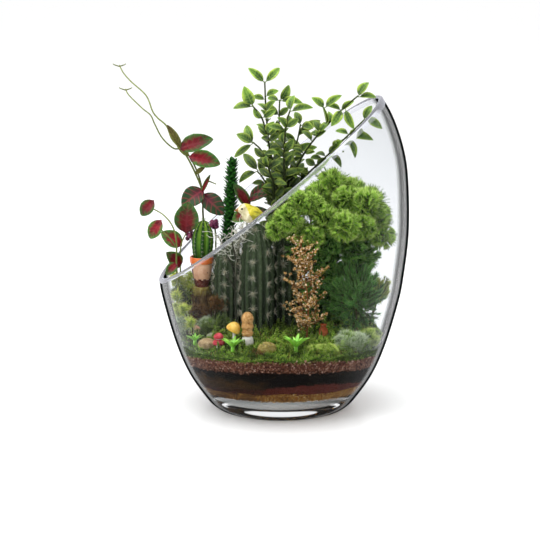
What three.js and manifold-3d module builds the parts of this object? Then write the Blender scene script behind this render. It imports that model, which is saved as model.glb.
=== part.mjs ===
// Glass plant terrarium: an egg-shaped glass vase with a slanted mouth, filled in layers and planted.
// Millimetres, +Z up. The origin is the middle of the flat underside; the low rim is at -X, the high
// rim at +X, and the front is -Y. Every sub-part is one closed solid in its own named mesh.
import * as THREE from "three";
import { mergeVertices } from "three/addons/utils/BufferGeometryUtils.js";
import Module from "manifold-3d";

const wasm = await Module();
wasm.setup();

// ---- driving dimensions ----
const WIDEST = 203; // outer diameter, a little above half height
const HIGH_RIM = 251; // height of the mouth on its high side
const LOW_RIM = 105; // height of the mouth on its low side
const WALL = 4.5; // glass at the mouth and in the upper wall
const HEEL = 15; // glass added to the wall where it curves into the base
const FLOOR = 13; // thickness of the glass under the sand
const GAP = 0.3; // clearance between pieces that touch
const LAYER_GAP = 0.4; // clearance between the filling and the faceted glass
const SIDES = 28; // facets round the vase and its layers
const SOCKET = 9; // depth that stems stand in the moss bed
const BED_FRONT = 58.5; // height of the moss bed at the front wall

const radius = WIDEST / 2;
const point = (x, y, z) => new THREE.Vector3(x, y, z);
const UP = point(0, 0, 1);

// ---- seeded random numbers, so that every run grows the same plants ----
let seed = 1;
function reseed(value) {
  seed = value;
}
function random(low = 0, high = 1) {
  seed = (seed * 1664525 + 1013904223) % 4294967296;
  return low + (high - low) * (seed / 4294967296);
}

// ---- solids: joining, cutting and naming ----
// A closed mesh as a solid for the joins and cuts, turned round first if its faces point inwards.
function solid(geometry) {
  const bare = new THREE.BufferGeometry().setAttribute("position", geometry.getAttribute("position"));
  if (geometry.index) bare.setIndex(geometry.index);
  const merged = mergeVertices(bare, 1e-3);
  const triVerts = new Uint32Array(merged.index.array);
  const make = () =>
    new wasm.Manifold(
      new wasm.Mesh({ numProp: 3, vertProperties: merged.attributes.position.array, triVerts }),
    );
  const made = make();
  if (made.volume() > 0) return made;
  for (let i = 0; i < triVerts.length; i += 3) {
    [triVerts[i + 1], triVerts[i + 2]] = [triVerts[i + 2], triVerts[i + 1]];
  }
  return make();
}

const fuse = (pieces) => wasm.Manifold.union(pieces);

// Keeps the largest body, so a scrap that a cut leaves loose is dropped.
function largest(whole) {
  return whole.decompose().reduce((best, body) => (body.volume() > best.volume() ? body : best));
}

const terrarium = new THREE.Group();

function add(name, body, colour, roughness = 0.7, metalness = 0) {
  const { vertProperties, triVerts } = body.getMesh();
  const geometry = new THREE.BufferGeometry()
    .setAttribute("position", new THREE.BufferAttribute(vertProperties, 3))
    .setIndex(new THREE.BufferAttribute(triVerts, 1));
  const material = new THREE.MeshStandardMaterial({ color: colour, roughness, metalness });
  if (name === "glass_vessel") Object.assign(material, { transparent: true, opacity: 0.3 });
  const mesh = new THREE.Mesh(geometry, material);
  mesh.name = name;
  terrarium.add(mesh);
}

// ---- shape helpers ----
// A closed skin through rings of equally many points; the first and last rings are single points.
// The first bands may be split along their other diagonal, so that they match the layer below.
function skin(rings, crossed = 0) {
  const count = rings[1].length;
  const points = rings.flat();
  const index = [];
  for (let k = 0; k < count; k++) {
    const next = (k + 1) % count;
    index.push(0, 1 + next, 1 + k);
    for (let ring = 1; ring < rings.length - 2; ring++) {
      const a = 1 + (ring - 1) * count;
      const b = a + count;
      if (ring <= crossed) index.push(a + k, a + next, b + next, a + k, b + next, b + k);
      else index.push(a + k, a + next, b + k, a + next, b + next, b + k);
    }
    const last = 1 + (rings.length - 3) * count;
    index.push(last + k, last + next, points.length - 1);
  }
  return new THREE.BufferGeometry().setFromPoints(points).setIndex(index);
}

// A round stem along a smooth curve through the points.
function tube(points, thickness, sides = 4, steps = points.length + 3) {
  const section = new THREE.Shape(
    new THREE.EllipseCurve(0, 0, thickness, thickness, 0, Math.PI * 2).getPoints(sides).slice(0, sides),
  );
  return new THREE.ExtrudeGeometry(section, {
    steps,
    extrudePath: new THREE.CatmullRomCurve3(points),
    bevelEnabled: false,
  });
}

// Moves a shape whose length runs along its own +X, with its upper face +Z, to a place and direction.
function placed(geometry, origin, direction, up = UP) {
  const along = direction.clone().normalize();
  const side = new THREE.Vector3().crossVectors(up, along);
  if (side.lengthSq() < 1e-6) side.set(0, 1, 0);
  side.normalize();
  const face = new THREE.Vector3().crossVectors(along, side);
  return geometry.applyMatrix4(new THREE.Matrix4().makeBasis(along, side, face).setPosition(origin));
}

const OVATE = (t) => Math.sin(Math.PI * Math.pow(t, 0.85));
const STRAP = (t) => Math.pow(Math.sin(Math.PI * Math.pow(t, 1.25)), 0.6);

// A leaf: a sphere of four meridians drawn out along +X, its half width following an outline, with
// the midrib sunk into a keel and the tip drooping. It is thickest at the midrib.
function leaf({ length, width, thick = 1.3, keel = 0.12, droop = 0.12, rows = 3, outline = OVATE }) {
  const geometry = new THREE.SphereGeometry(1, 4, rows);
  const place = geometry.getAttribute("position");
  for (let i = 0; i < place.count; i++) {
    const t = Math.acos(THREE.MathUtils.clamp(place.getY(i), -1, 1)) / Math.PI;
    const ring = Math.max(Math.sin(Math.PI * t), 1e-6);
    const across = (place.getX(i) / ring) * outline(t) * (width / 2);
    const deep = (place.getZ(i) / ring) * Math.pow(Math.sin(Math.PI * t), 0.5) * (thick / 2);
    const pole = Math.sin(Math.PI * t) < 1e-3;
    place.setXYZ(
      i,
      length * (1 - Math.cos(Math.PI * t)) * 0.5,
      pole ? 0 : across,
      (pole ? 0 : deep) + keel * Math.abs(pole ? 0 : across) * 2 - droop * length * t * t,
    );
  }
  return geometry;
}

// A three-sided needle along +X with its root at the origin.
function needle(length, thickness) {
  return new THREE.ConeGeometry(thickness, length, 3)
    .rotateZ(-Math.PI / 2)
    .translate(length / 2, 0, 0);
}

// A ruffled fan: one thin outline cut into lobes, its root at the origin, opening along +X.
function fan(reach, lobes, spread, thick = 0.9) {
  const outline = [[-1, 0]];
  for (let k = 0; k < lobes; k++) {
    const tip = ((k + 0.5) / lobes - 0.5) * spread;
    const notch = ((k + 1) / lobes - 0.5) * spread;
    outline.push([Math.cos(tip) * reach, Math.sin(tip) * reach]);
    if (k < lobes - 1) outline.push([Math.cos(notch) * reach * 0.78, Math.sin(notch) * reach * 0.78]);
  }
  const shape = new THREE.Shape(outline.map(([x, y]) => new THREE.Vector2(x, y)));
  return new THREE.ExtrudeGeometry(shape, { depth: thick, bevelEnabled: false }).translate(0, 0, -thick / 2);
}

// An uneven pebble: a ball squashed to its three sizes, with a seeded unevenness.
function pebbleShape(length, depth, height, detail = 1) {
  const ball = mergeVertices(bareBall(detail));
  const place = ball.getAttribute("position");
  for (let i = 0; i < place.count; i++) {
    const swell = random(0.9, 1.06);
    place.setXYZ(
      i,
      place.getX(i) * (length / 2) * swell,
      place.getY(i) * (depth / 2) * swell,
      place.getZ(i) * (height / 2) * swell,
    );
  }
  return ball;
}

function bareBall(detail) {
  const ball = new THREE.IcosahedronGeometry(1, detail);
  ball.deleteAttribute("normal");
  ball.deleteAttribute("uv");
  return ball;
}

// Even directions over a ball, from the top down, by the golden angle.
function directions(count, lowest = -1) {
  return Array.from({ length: count }, (_, k) => {
    const height = 1 - ((k + 0.5) / count) * (1 - lowest);
    const flat = Math.sqrt(1 - height * height);
    const turn = k * Math.PI * (3 - Math.sqrt(5));
    return point(Math.cos(turn) * flat, Math.sin(turn) * flat, height);
  });
}

// ---- glass vessel ----
// The outer outline, as shares of the greatest radius and of the high rim's height.
const OUTLINE = [
  [0.49, 0], [0.535, 0.008], [0.602, 0.035], [0.735, 0.116], [0.835, 0.214], [0.926, 0.344],
  [0.965, 0.43], [1, 0.571], [0.99, 0.734], [0.953, 0.832], [0.87, 0.93], [0.76, 1.01],
].map(([r, z]) => [r * radius, z * HIGH_RIM]);

// Straight interpolation of y in a list of [y, x] pairs with rising x.
function interpolate(pairs, x) {
  const k = Math.min(Math.max(pairs.findIndex(([, at]) => at > x), 1), pairs.length - 1);
  const [[y0, x0], [y1, x1]] = [pairs[k - 1], pairs[k]];
  return y0 + ((y1 - y0) * (x - x0)) / (x1 - x0);
}

const smooth = (low, high, x) => THREE.MathUtils.smoothstep(x, low, high);
// The wall is thickest at the floor and thins to its own thickness at HEEL_TOP.
const HEEL_TOP = 50;
const wallThickness = (z) => WALL + HEEL * Math.pow(1 - smooth(FLOOR - 1, HEEL_TOP, z), 1.2);
const INNER_LEVELS = [FLOOR, 19, 29, 42, 62, 100, 143, 184, 209, 233, 253];
const INNER = INNER_LEVELS.map((z) => [interpolate(OUTLINE, z) - wallThickness(z), z]);
const innerRadius = (z) => interpolate(INNER, z);

// The mouth is cut by one plane, from the low rim on the left to the high rim on the right.
const mouthSpan = interpolate(OUTLINE, HIGH_RIM) + interpolate(OUTLINE, LOW_RIM);
const rimSlope = Math.atan2(HIGH_RIM - LOW_RIM, mouthSpan);

function glassVessel() {
  const profile = [[0, 0], ...OUTLINE, ...INNER.toReversed(), [0, FLOOR]];
  const points = profile.map(([r, z]) => new THREE.Vector2(r, z));
  const vase = new THREE.LatheGeometry(points, SIDES).rotateX(Math.PI / 2);
  const reach = 2 * HIGH_RIM;
  const above = new THREE.BoxGeometry(reach * 2, reach * 2, reach)
    .translate(0, 0, reach / 2)
    .rotateY(-rimSlope)
    .translate(-interpolate(OUTLINE, LOW_RIM), 0, LOW_RIM);
  return solid(vase).subtract(solid(above));
}

add("glass_vessel", glassVessel(), "#eef5f4", 0.03);

// ---- layers ----
// The filling sags towards the left and right walls. Each boundary is a height over the plan (x, y).
const sag = (x, depth) => depth * (x / 80) ** 2;
const ripple = (x, y, size) => size * Math.sin(x * 0.13 + 1) * Math.cos(y * 0.11 - x * 0.05);
const clayRise = (x, y) => 8 * Math.exp(-(((x - 16) / 34) ** 2) - ((y + 50) / 30) ** 2);
const sandTop = (x, y) => 28 + ripple(x, y, 0.8) - sag(x, 2);
const clayTop = (x, y) => sandTop(x, y) + 2.2 + clayRise(x, y);
const soilTop = (x, y) => 47 + ripple(y, x, 0.8) - sag(x, 6) - 5 * (1 - (x * x + y * y) / 6400);
const gritTop = (x, y) => 56 + ripple(x, y, 0.6) - sag(x, 7) - 7 * (1 - (x * x + y * y) / 6400);
const bedTop = (x, y) => {
  const share = Math.min(Math.hypot(x, y) / 82, 1);
  return BED_FRONT + 5 * (1 - share ** 6) + 0.06 * (y + 66) + ripple(x * 2, y * 2, 0.9) - sag(x, 2);
};
const flatFloor = () => FLOOR;

// A layer between two boundaries, its side following the faceted glass at a fixed clearance.
// Both solids at a boundary use the same shares of the radius for its inner rings.
function layer(bottom, top, { under = [], over = [], bulge = [] } = {}) {
  const spoke = (k) => {
    const turn = (k / SIDES) * Math.PI * 2;
    return [Math.cos(turn), Math.sin(turn)];
  };
  const edgeHeight = (height, k) => {
    const [c, s] = spoke(k);
    let r = innerRadius(40);
    for (let pass = 0; pass < 6; pass++) r = innerRadius(height(c * r, s * r)) - LAYER_GAP;
    return height(c * r, s * r);
  };
  const all = [...Array(SIDES).keys()];
  const lower = all.map((k) => edgeHeight(bottom, k) + GAP);
  const upper = all.map((k) => edgeHeight(top, k));
  const surface = (height, share, lift) =>
    all.map((k) => {
      const [c, s] = spoke(k);
      const r = (innerRadius(edgeHeight(height, k)) - LAYER_GAP) * share;
      return point(c * r, s * r, height(c * r, s * r) + lift);
    });
  const side = (share) =>
    all.map((k) => {
      const [c, s] = spoke(k);
      const z = lower[k] + (upper[k] - lower[k]) * share;
      const r = innerRadius(z) - LAYER_GAP;
      return point(c * r, s * r, z);
    });
  const rings = [
    [point(0, 0, bottom(0, 0) + GAP)],
    ...under.toReversed().map((share) => surface(bottom, share, GAP)),
    side(0),
    ...bulge.map(side),
    side(1),
    ...over.map((share) => surface(top, share, 0)),
    [point(0, 0, top(0, 0))],
  ];
  return solid(skin(rings, under.length));
}

add("sand_layer", layer(flatFloor, sandTop, { bulge: [0.4] }), "#9a6a2c", 0.95);
add("clay_layer", layer(sandTop, clayTop, { over: [0.65] }), "#5e2a26", 0.95);
add("soil_layer", layer(clayTop, soilTop, { under: [0.65] }), "#1d1510", 0.95);

// The bed and the grit are cut last, when every stem and stone that stands in them is known.
const socketCutters = [];
const bed = layer(gritTop, bedTop, { under: [0.55], over: [0.9, 0.5] });
const grit = layer(soilTop, gritTop, { over: [0.55] });

// The foot of a stem at a place on the bed, with its plain round socket.
function stand(x, y, thickness, depth = SOCKET, sides = 5) {
  const foot = bedTop(x, y) - depth;
  const wide = (thickness + GAP + 0.2) / Math.cos(Math.PI / sides);
  socketCutters.push(
    solid(
      new THREE.CylinderGeometry(wide, wide, 40, sides)
        .rotateX(Math.PI / 2)
        .translate(x, y, foot - GAP + 20),
    ),
  );
  return [point(x, y, foot), point(x, y, foot + depth + 2)];
}

// A stone or ornament sits in a plain oval dent that follows its outline at a small clearance.
function dent(x, y, bottom, wide, deep, sides = 6) {
  const oval = new THREE.CylinderGeometry(1, 1, 40, sides).rotateX(Math.PI / 2);
  const grow = 1 / Math.cos(Math.PI / sides);
  oval.scale((wide + GAP) * grow, (deep + GAP) * grow, 1).translate(x, y, bottom - GAP + 20);
  socketCutters.push(solid(oval));
}

// ---- log stump, orange pot and its cactus ----
const STUMP = { x: -65, y: 12, radius: 9, top: 95.5 };
const POT = { height: 24, rim: 9.4, foot: 5.4, wall: 1.3 };

// A turned piece: a closed profile of [radius, height] pairs, stood at a place.
function turned(profile, [x, y, z], sides = 8) {
  const outline = profile.map(([r, h]) => new THREE.Vector2(r, h));
  return solid(new THREE.LatheGeometry(outline, sides).rotateX(Math.PI / 2).translate(x, y, z));
}

// An upright ribbed body: its outline gives the radius at each share of its height.
function ribbed({ base, top, ribs, ribDepth, rings, outline }) {
  const count = ribs * 2;
  const ring = (t) => {
    const centre = base.clone().lerp(top, t);
    return [...Array(count).keys()].map((k) => {
      const turn = (k / count) * Math.PI * 2;
      const r = outline(t) * (k % 2 ? 1 - ribDepth : 1);
      return point(centre.x + r * Math.cos(turn), centre.y + r * Math.sin(turn), centre.z);
    });
  };
  const share = (k) => (k ? Math.sin(((k + 0.5) / rings) * Math.PI * 0.5) ** 0.8 : 0);
  const shares = [...Array(rings).keys()].map(share);
  return skin([[base.clone()], ...shares.map(ring), [top.clone()]]);
}

function logStump() {
  const foot = stand(STUMP.x, STUMP.y, STUMP.radius * 1.08, 5, 10)[0].z;
  const bark = new THREE.CylinderGeometry(STUMP.radius * 0.92, STUMP.radius * 1.08, STUMP.top - foot, 9, 2);
  bark.rotateX(Math.PI / 2).translate(STUMP.x, STUMP.y, (STUMP.top + foot) / 2);
  return solid(bark);
}
add("log_stump", logStump(), "#6e5638", 0.9);

const potPlace = [STUMP.x + 1, STUMP.y - 1, STUMP.top + GAP];
const potProfile = [
  [0, 0], [POT.foot, 0], [POT.rim - 1, 15], [POT.rim - 0.9, 19], [POT.rim, 19.4], [POT.rim, POT.height],
  [POT.rim - POT.wall, POT.height], [POT.rim - POT.wall - 1, 17], [POT.foot - POT.wall, 2], [0, 2],
];
add("orange_pot", turned(potProfile, potPlace), "#d9642a", 0.45);

const POT_SOIL_TOP = 21.6;
const potSoilProfile = [
  [0, 14 + GAP], [POT.rim - POT.wall - 1.9, 14 + GAP], [POT.rim - POT.wall - 1 - GAP, 17.5],
  [POT.rim - POT.wall - 0.4 - GAP, 21], [0, POT_SOIL_TOP],
];
add("pot_soil", turned(potSoilProfile, potPlace), "#2a1c12", 0.95);

const cactusFoot = point(potPlace[0] + 0.5, potPlace[1], potPlace[2] + POT_SOIL_TOP + GAP);
add(
  "pot_cactus",
  solid(
    ribbed({
      base: cactusFoot,
      top: point(-62, potPlace[1] - 1, 150.5),
      ribs: 8,
      ribDepth: 0.16,
      rings: 6,
      outline: (t) => 5 + 3.6 * Math.sin(Math.PI * Math.min(0.12 + t * 0.86, 1)) - 3.6 * t ** 6,
    }),
  ),
  "#5e8a24",
  0.6,
);

// ---- cacti that stand in the moss ----
// Spine stars: groups of pale needles that stand out round a point of the surface.
function spineStar(at, out, reach, count, thickness) {
  const side = new THREE.Vector3().crossVectors(out, UP).normalize();
  const over = new THREE.Vector3().crossVectors(side, out).normalize();
  return [...Array(count).keys()].map((k) => {
    const turn = ((k + random(-0.2, 0.2)) / count) * Math.PI * 2;
    const lean = side.clone().multiplyScalar(Math.cos(turn)).addScaledVector(over, Math.sin(turn));
    const root = at.clone().addScaledVector(out, -1.2);
    return solid(placed(needle(reach + 1.2, thickness), root, out.clone().multiplyScalar(0.75).add(lean)));
  });
}

const CACTI = [
  { name: "spined_cactus_left", x: -42, y: 5, radius: 12.2, top: 134, stars: 5, seed: 21 },
  { name: "spined_cactus_middle", x: -19, y: -11, radius: 13.6, top: 150.6, stars: 7, seed: 22 },
  { name: "spined_cactus_right", x: 4.5, y: 5, radius: 12.6, top: 143.5, stars: 5, seed: 23 },
];
const cactusOutline = (widest) => (t) =>
  widest * (0.86 + 0.14 * Math.sin(Math.PI * t)) * Math.sqrt(1 - t ** 7);

for (const { name, x, y, radius: widest, top, stars, seed: draw } of CACTI) {
  reseed(draw);
  const foot = stand(x, y, widest, 5, 12)[0].z;
  const body = solid(
    ribbed({
      base: point(x, y, foot),
      top: point(x, y, top),
      ribs: 7,
      ribDepth: 0.12,
      rings: 7,
      outline: cactusOutline(widest),
    }),
  );
  const spines = directions(stars * 2)
    .map((way, k) => ({ way, rise: foot + 16 + ((top - foot - 24) * ((k * 0.618) % 1)) }))
    .filter(({ way }) => Math.abs(way.x) < 0.8 * Math.hypot(way.x, way.y))
    .flatMap(({ way, rise }) => {
      const out = point(way.x, way.y, 0).normalize();
      const t = (rise - foot) / (top - foot);
      const at = point(x, y, rise).addScaledVector(out, cactusOutline(widest)(t) * 0.93);
      return spineStar(at, out, 3.6, 3, 0.55);
    });
  add(name, largest(fuse([body, ...spines])), "#3d4a38", 0.75);
}

function columnCactus() {
  reseed(31);
  const [base] = stand(-47, 29, 6, 6, 10);
  const top = point(-38.4, 12, 198);
  const outline = (t) => (t < 0.02 ? 4.2 : 6) * (1 - 0.45 * t) * Math.sqrt(1 - t ** 9);
  const body = solid(ribbed({ base, top, ribs: 6, ribDepth: 0.22, rings: 6, outline }));
  const levels = 8;
  const spines = [];
  for (let level = 1; level < levels; level++) {
    for (let rib = level % 2; rib < 6; rib += 2) {
      const t = 0.2 + (0.78 * level) / levels;
      const turn = (rib / 6) * Math.PI * 2;
      const out = point(Math.cos(turn), Math.sin(turn), 0);
      const root = base.clone().lerp(top, t).addScaledVector(out, outline(t) * 0.6);
      spines.push(solid(placed(needle(outline(t) * 0.4 + 2.6, 1.1), root, out.clone().setZ(0.45))));
    }
  }
  return largest(fuse([body, ...spines]));
}
add("column_cactus", columnCactus(), "#1f4a1c", 0.65);

// ---- pale thorn twig ----
function thornTwig() {
  reseed(41);
  const [foot, ground] = stand(-35, -24, 0.9, 7);
  const main = [foot, ground, point(-36, -23, 95), point(-35, -22, 125), point(-30, -14, 152)];
  const limbs = [
    main,
    [point(-36, -22, 112), point(-41, -19, 124), point(-48, -14, 138), point(-52, -10, 142)],
    [point(-35, -22, 122), point(-38, -19, 134), point(-39, -14, 146)],
    [point(-36, -23, 100), point(-41, -21, 108), point(-46, -19, 112)],
  ];
  const pieces = limbs.map((points, k) => solid(tube(points, k ? 0.65 : 0.8, 3, points.length + 1)));
  for (const points of limbs) {
    const curve = new THREE.CatmullRomCurve3(points);
    for (let t = 0.62; t < 1; t += 0.19) {
      const way = point(random(-1, 1), random(-1, -0.1), random(-0.2, 1)).normalize();
      pieces.push(solid(placed(needle(random(4, 6), 0.6), curve.getPointAt(t), way)));
    }
  }
  return largest(fuse(pieces));
}
add("pale_thorn_twig", thornTwig(), "#c9c8b4", 0.8);

// ---- tall leafy stems ----
// Each stem: its foot in the moss, the points it grows through, and its leaves as a joint, a tip and
// a width. Further leaf pairs follow along the stem, turned by the golden angle.
const LEAFY_STEMS = [
  {
    name: "leafy_stem_crown", foot: [-3, 32],
    way: [[-2, 26, 163], [-9, 26, 203], [-12, 26, 236], [-13, 25, 259]],
    leaves: [[-13, 25, 258, -25, 22, 270, 6], [-13, 25, 258, -1, 28, 270, 6]],
    pairs: [0.66, 0.78, 0.88], length: 11,
  },
  {
    name: "leafy_stem_left", foot: [-9, 27],
    way: [[-3, 16, 168], [-9, 14, 206], [-15, 10, 231], [-23, 8, 242]],
    leaves: [[-22, 8, 241, -29, 3, 256, 9], [-22, 8, 241, -38, 9, 241, 6]],
    pairs: [0.62, 0.74, 0.86], length: 12,
  },
  {
    name: "leafy_stem_back", foot: [1, 37],
    way: [[0, 36, 161], [-1, 38, 201], [-1.5, 39, 227], [-1, 39, 243]],
    leaves: [[-1, 39, 242, -11, 43, 245, 5], [-1, 39, 242, 7, 38, 254, 7], [-1, 39, 242, 17, 34, 242, 6]],
    pairs: [0.58, 0.7, 0.82], length: 12,
  },
  {
    name: "leafy_stem_front", foot: [7, 26],
    way: [[3, 11, 166], [2.5, 4, 207], [4, 0, 228], [7, -1, 239]],
    leaves: [[7, -1, 238, 24, -3, 243, 6], [7, -1, 238, 9, 3, 251, 7]],
    pairs: [0.58, 0.7, 0.82, 0.92], length: 13,
  },
  {
    name: "leafy_stem_low_left", foot: [-15, 24],
    way: [[-6, 6, 166], [-9, -2, 190], [-15, -7, 207], [-22, -10, 215]],
    leaves: [
      [-22, -10, 214, -34, -12, 222, 7], [-22, -10, 214, -28, -6, 228, 7], [-22, -10, 214, -37, -12, 204, 5],
    ],
    pairs: [0.68, 0.84], length: 12,
  },
  {
    name: "leafy_stem_side", foot: [-14, 34],
    way: [[-6, 24, 158], [-10, 20, 173], [-15, 18, 183], [-19, 17, 188]],
    leaves: [
      [-19, 17, 188, -34, 14, 181, 6], [-18, 17, 188, -30, 20, 202, 7], [-15, 18, 184, -16, 22, 199, 6],
    ],
    pairs: [0.8], length: 11,
  },
  {
    name: "leafy_stem_long", foot: [12, 31],
    way: [[6, 20, 168], [9, 14, 183], [18, 8, 203], [30, 4, 220], [48, -3, 240], [60, -6, 251]],
    leaves: [
      [60, -6, 250, 67, -6, 262, 7], [60, -6, 250, 77, -5, 250, 5], [50, -4, 241, 56, -10, 226, 6],
      [48, -3, 240, 40, -11, 229, 7], [36, 1, 226, 34, -4, 242, 2], [34, -4, 241, 25, -6, 250, 6],
      [34, -4, 241, 46, -6, 252, 6],
    ],
    pairs: [0.6, 0.7, 0.8], length: 12,
  },
  {
    name: "leafy_stem_arm", foot: [12, 39],
    way: [[8, 32, 162], [17, 30, 179], [34, 28, 196], [51, 26, 213], [67, 24, 229]],
    leaves: [
      [66, 24, 228, 83, 22, 223, 7], [66, 24, 228, 72, 25, 240, 6], [52, 26, 214, 75, 25, 214, 7],
      [52, 26, 214, 62, 25, 198, 6], [42, 27, 204, 47, 20, 212, 7], [38, 28, 200, 52, 33, 203, 6],
      [38, 28, 200, 50, 26, 191, 6],
    ],
    pairs: [0.62, 0.72], length: 11,
  },
  {
    name: "leafy_stem_short", foot: [4, 45],
    way: [[4, 46, 159], [9, 48, 191], [14, 49, 211], [16, 49, 222]],
    leaves: [
      [16, 49, 221, 26, 46, 220, 7], [16, 49, 221, 12, 52, 232, 6], [14, 49, 212, 31, 49, 226, 7],
      [10, 48, 197, 24, 45, 207, 6],
    ],
    pairs: [0.62, 0.76], length: 12,
  },
];
const STEM_THICKNESS = 0.95;

// A leaf from a joint to a tip, its face turned to the front and up.
function leafBetween(joint, tip, width, turn = 0, thick = 1.3) {
  const along = tip.clone().sub(joint);
  const blade = leaf({ length: along.length(), width, thick });
  return solid(placed(blade, joint, along, point(turn, -1, 0.7)));
}

function leafyStem({ foot, way, leaves, pairs, length }) {
  const [buried, ground] = stand(...foot, STEM_THICKNESS);
  const points = [buried, ground, ...way.map((p) => point(...p))];
  const curve = new THREE.CatmullRomCurve3(points);
  const pieces = [solid(tube(points, STEM_THICKNESS, 3))];
  for (const [jx, jy, jz, tx, ty, tz, width] of leaves) {
    pieces.push(leafBetween(point(jx, jy, jz), point(tx, ty, tz), width, random(-0.4, 0.4)));
  }
  pairs.forEach((share, k) => {
    const joint = curve.getPointAt(share);
    const turn = k * 2.4 + 0.4;
    for (const half of [0, Math.PI]) {
      const out = point(Math.cos(turn + half), Math.sin(turn + half) * 0.45, random(0.5, 1.1)).normalize();
      const tip = joint.clone().addScaledVector(out, length * random(0.9, 1.15));
      pieces.push(leafBetween(joint, tip, length * 0.5, random(-0.5, 0.5)));
    }
  });
  return largest(fuse(pieces));
}
LEAFY_STEMS.forEach((stem, k) => {
  reseed(50 + k);
  add(stem.name, leafyStem(stem), k % 2 ? "#4f8a2a" : "#5f9a2e", 0.5);
});

// ---- red and green leaved stems ----
// Broad leaves with four rings, so that their outline is round.
function broadLeaf(joint, tip, width, facing = point(0, -1, 0.5)) {
  const along = tip.clone().sub(joint);
  const blade = leaf({ length: along.length() + 1, width, thick: 1.6, rows: 4, keel: 0.08, droop: 0.06 });
  return solid(placed(blade, joint.clone().addScaledVector(along.normalize(), -1), along, facing));
}

const RED_STEMS = [
  {
    name: "red_leaf_stem_upper", foot: [-60, 35],
    limbs: [
      [
        [-61, 30, 120], [-63, 24, 152], [-63, 20, 170], [-68, 17, 185], [-75, 14, 200], [-81, 12, 208],
        [-87, 12, 215], [-91, 12, 225], [-98, 12, 231.5], [-102, 12, 237], [-107, 14, 249],
        [-119, 16, 260], [-125, 16, 267], [-128, 16, 273],
      ],
      [
        [-63, 20, 169], [-65.5, 21, 182], [-71, 22, 195], [-78, 22, 205], [-86, 21, 206], [-95, 20, 214.5],
        [-101, 20, 226], [-104, 18, 233], [-110.5, 18, 238.5], [-121, 18, 249], [-123.5, 18, 254],
      ],
      [[-63, 20, 171], [-59, 20, 179], [-52, 21, 177]],
    ],
    leaves: [
      [-80, 12, 207, -55, 6, 216, 14], [-73, 20, 199, -49, 15, 195, 14], [-80, 12, 208, -90, 10, 226, 6],
      [-75, 22, 200, -84, 21, 212, 6], [-63, 19, 171, -57, 19, 185, 3.5], [-68, 17, 186, -61, 15, 192, 4],
      [-63, 20, 172, -79, 11, 162, 16], [-63, 21, 168, -46, 14, 154, 15],
    ],
    forks: [[-128, 16, 272], [-123.5, 18, 253]],
  },
  {
    name: "red_leaf_stem_low", foot: [-73, 20],
    limbs: [[[-79, 15, 88], [-81, 8, 112], [-80, 5, 130], [-75, 4, 142]]],
    leaves: [
      [-76, 4, 141, -74, 1, 165, 19], [-80, 6, 130, -95, 3, 141, 13], [-81, 8, 113, -90, -3, 125, 12],
    ],
  },
  {
    name: "red_leaf_stem_arching", foot: [-75, -12],
    limbs: [
      [[-81, -10, 88], [-83, -10, 115], [-83, -10, 136], [-86, -9, 148], [-93, -9, 157], [-103, -9, 163]],
      [[-83, -10, 132], [-89, -12, 140], [-96, -13, 147]],
    ],
    leaves: [
      [-101, -9, 168, -111, -10, 157, 11], [-95, -13, 153, -104, -14, 139, 11],
      [-83, -10, 118, -91, -14, 110, 8],
    ],
  },
  {
    name: "red_leaf_stem_back", foot: [-27, 33],
    limbs: [[[-28, 27, 120], [-27, 18, 150], [-24, 12, 168]]],
    leaves: [
      [-26, 15, 160, -37, 9, 179, 9], [-24, 12, 167, -11, 10, 179, 8], [-25, 13, 165, -12, 2, 172, 6],
      [-26, 16, 155, -38, 6, 150, 11], [-26, 16, 155, -11, 6, 158, 7],
    ],
  },
];

// The curled fork at the end of a tendril.
const fork = ([x, y, z]) =>
  [-1, 1].map((side) => solid(placed(needle(6, 0.8), point(x, y, z), point(side, 0, 0.5), UP)));

function redStem({ foot, limbs, leaves, forks = [] }) {
  const [buried, ground] = stand(...foot, STEM_THICKNESS);
  const paths = limbs.map((limb, k) => [...(k ? [] : [buried, ground]), ...limb.map((p) => point(...p))]);
  const stems = paths.map((path, k) => solid(tube(path, k ? 0.75 : 0.85, 3, path.length)));
  const blades = leaves.map(([jx, jy, jz, tx, ty, tz, width]) =>
    broadLeaf(point(jx, jy, jz), point(tx, ty, tz), width),
  );
  return largest(fuse([...stems, ...blades, ...forks.flatMap(fork)]));
}
for (const stem of RED_STEMS) add(stem.name, redStem(stem), "#7e2f32", 0.5);

function berryTwig() {
  reseed(71);
  const [buried, ground] = stand(-56, 32, 0.8);
  const joint = point(-53, 27, 120);
  const stalk = tube([buried, ground, joint, point(-53, 18, 140), point(-54, 10, 147)], 0.8);
  const arm = tube([joint, point(-62, 27, 126), point(-72, 20, 133), point(-74, 14, 137)], 0.7);
  const pieces = [solid(stalk), solid(arm)];
  for (const [middle, count] of [[point(-53.5, 11, 146), 7], [point(-73.5, 15, 136), 5]]) {
    for (const way of directions(count)) {
      const berry = new THREE.OctahedronGeometry(2).translate(...middle.clone().addScaledVector(way, 2.8));
      pieces.push(solid(berry));
    }
  }
  return largest(fuse(pieces));
}
add("berry_twig", berryTwig(), "#6b2d4a", 0.45);

// ---- fan foliage ----
// A head is a ball that ruffled fans stand out of on all sides.
function fanHead(middle, reach, count) {
  const core = new THREE.IcosahedronGeometry(reach * 0.66, 0).translate(...middle);
  const fans = directions(count, -0.75).map((way, k) => {
    const turn = point(Math.cos(k * 2.1), Math.sin(k * 2.1), 0.4);
    const face = new THREE.Vector3().crossVectors(way, turn);
    const size = reach * random(0.8, 1);
    const root = middle.clone().addScaledVector(way, reach - size);
    return solid(placed(fan(size, 4, 1.5), root, way, face));
  });
  return [solid(core), ...fans];
}

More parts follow.
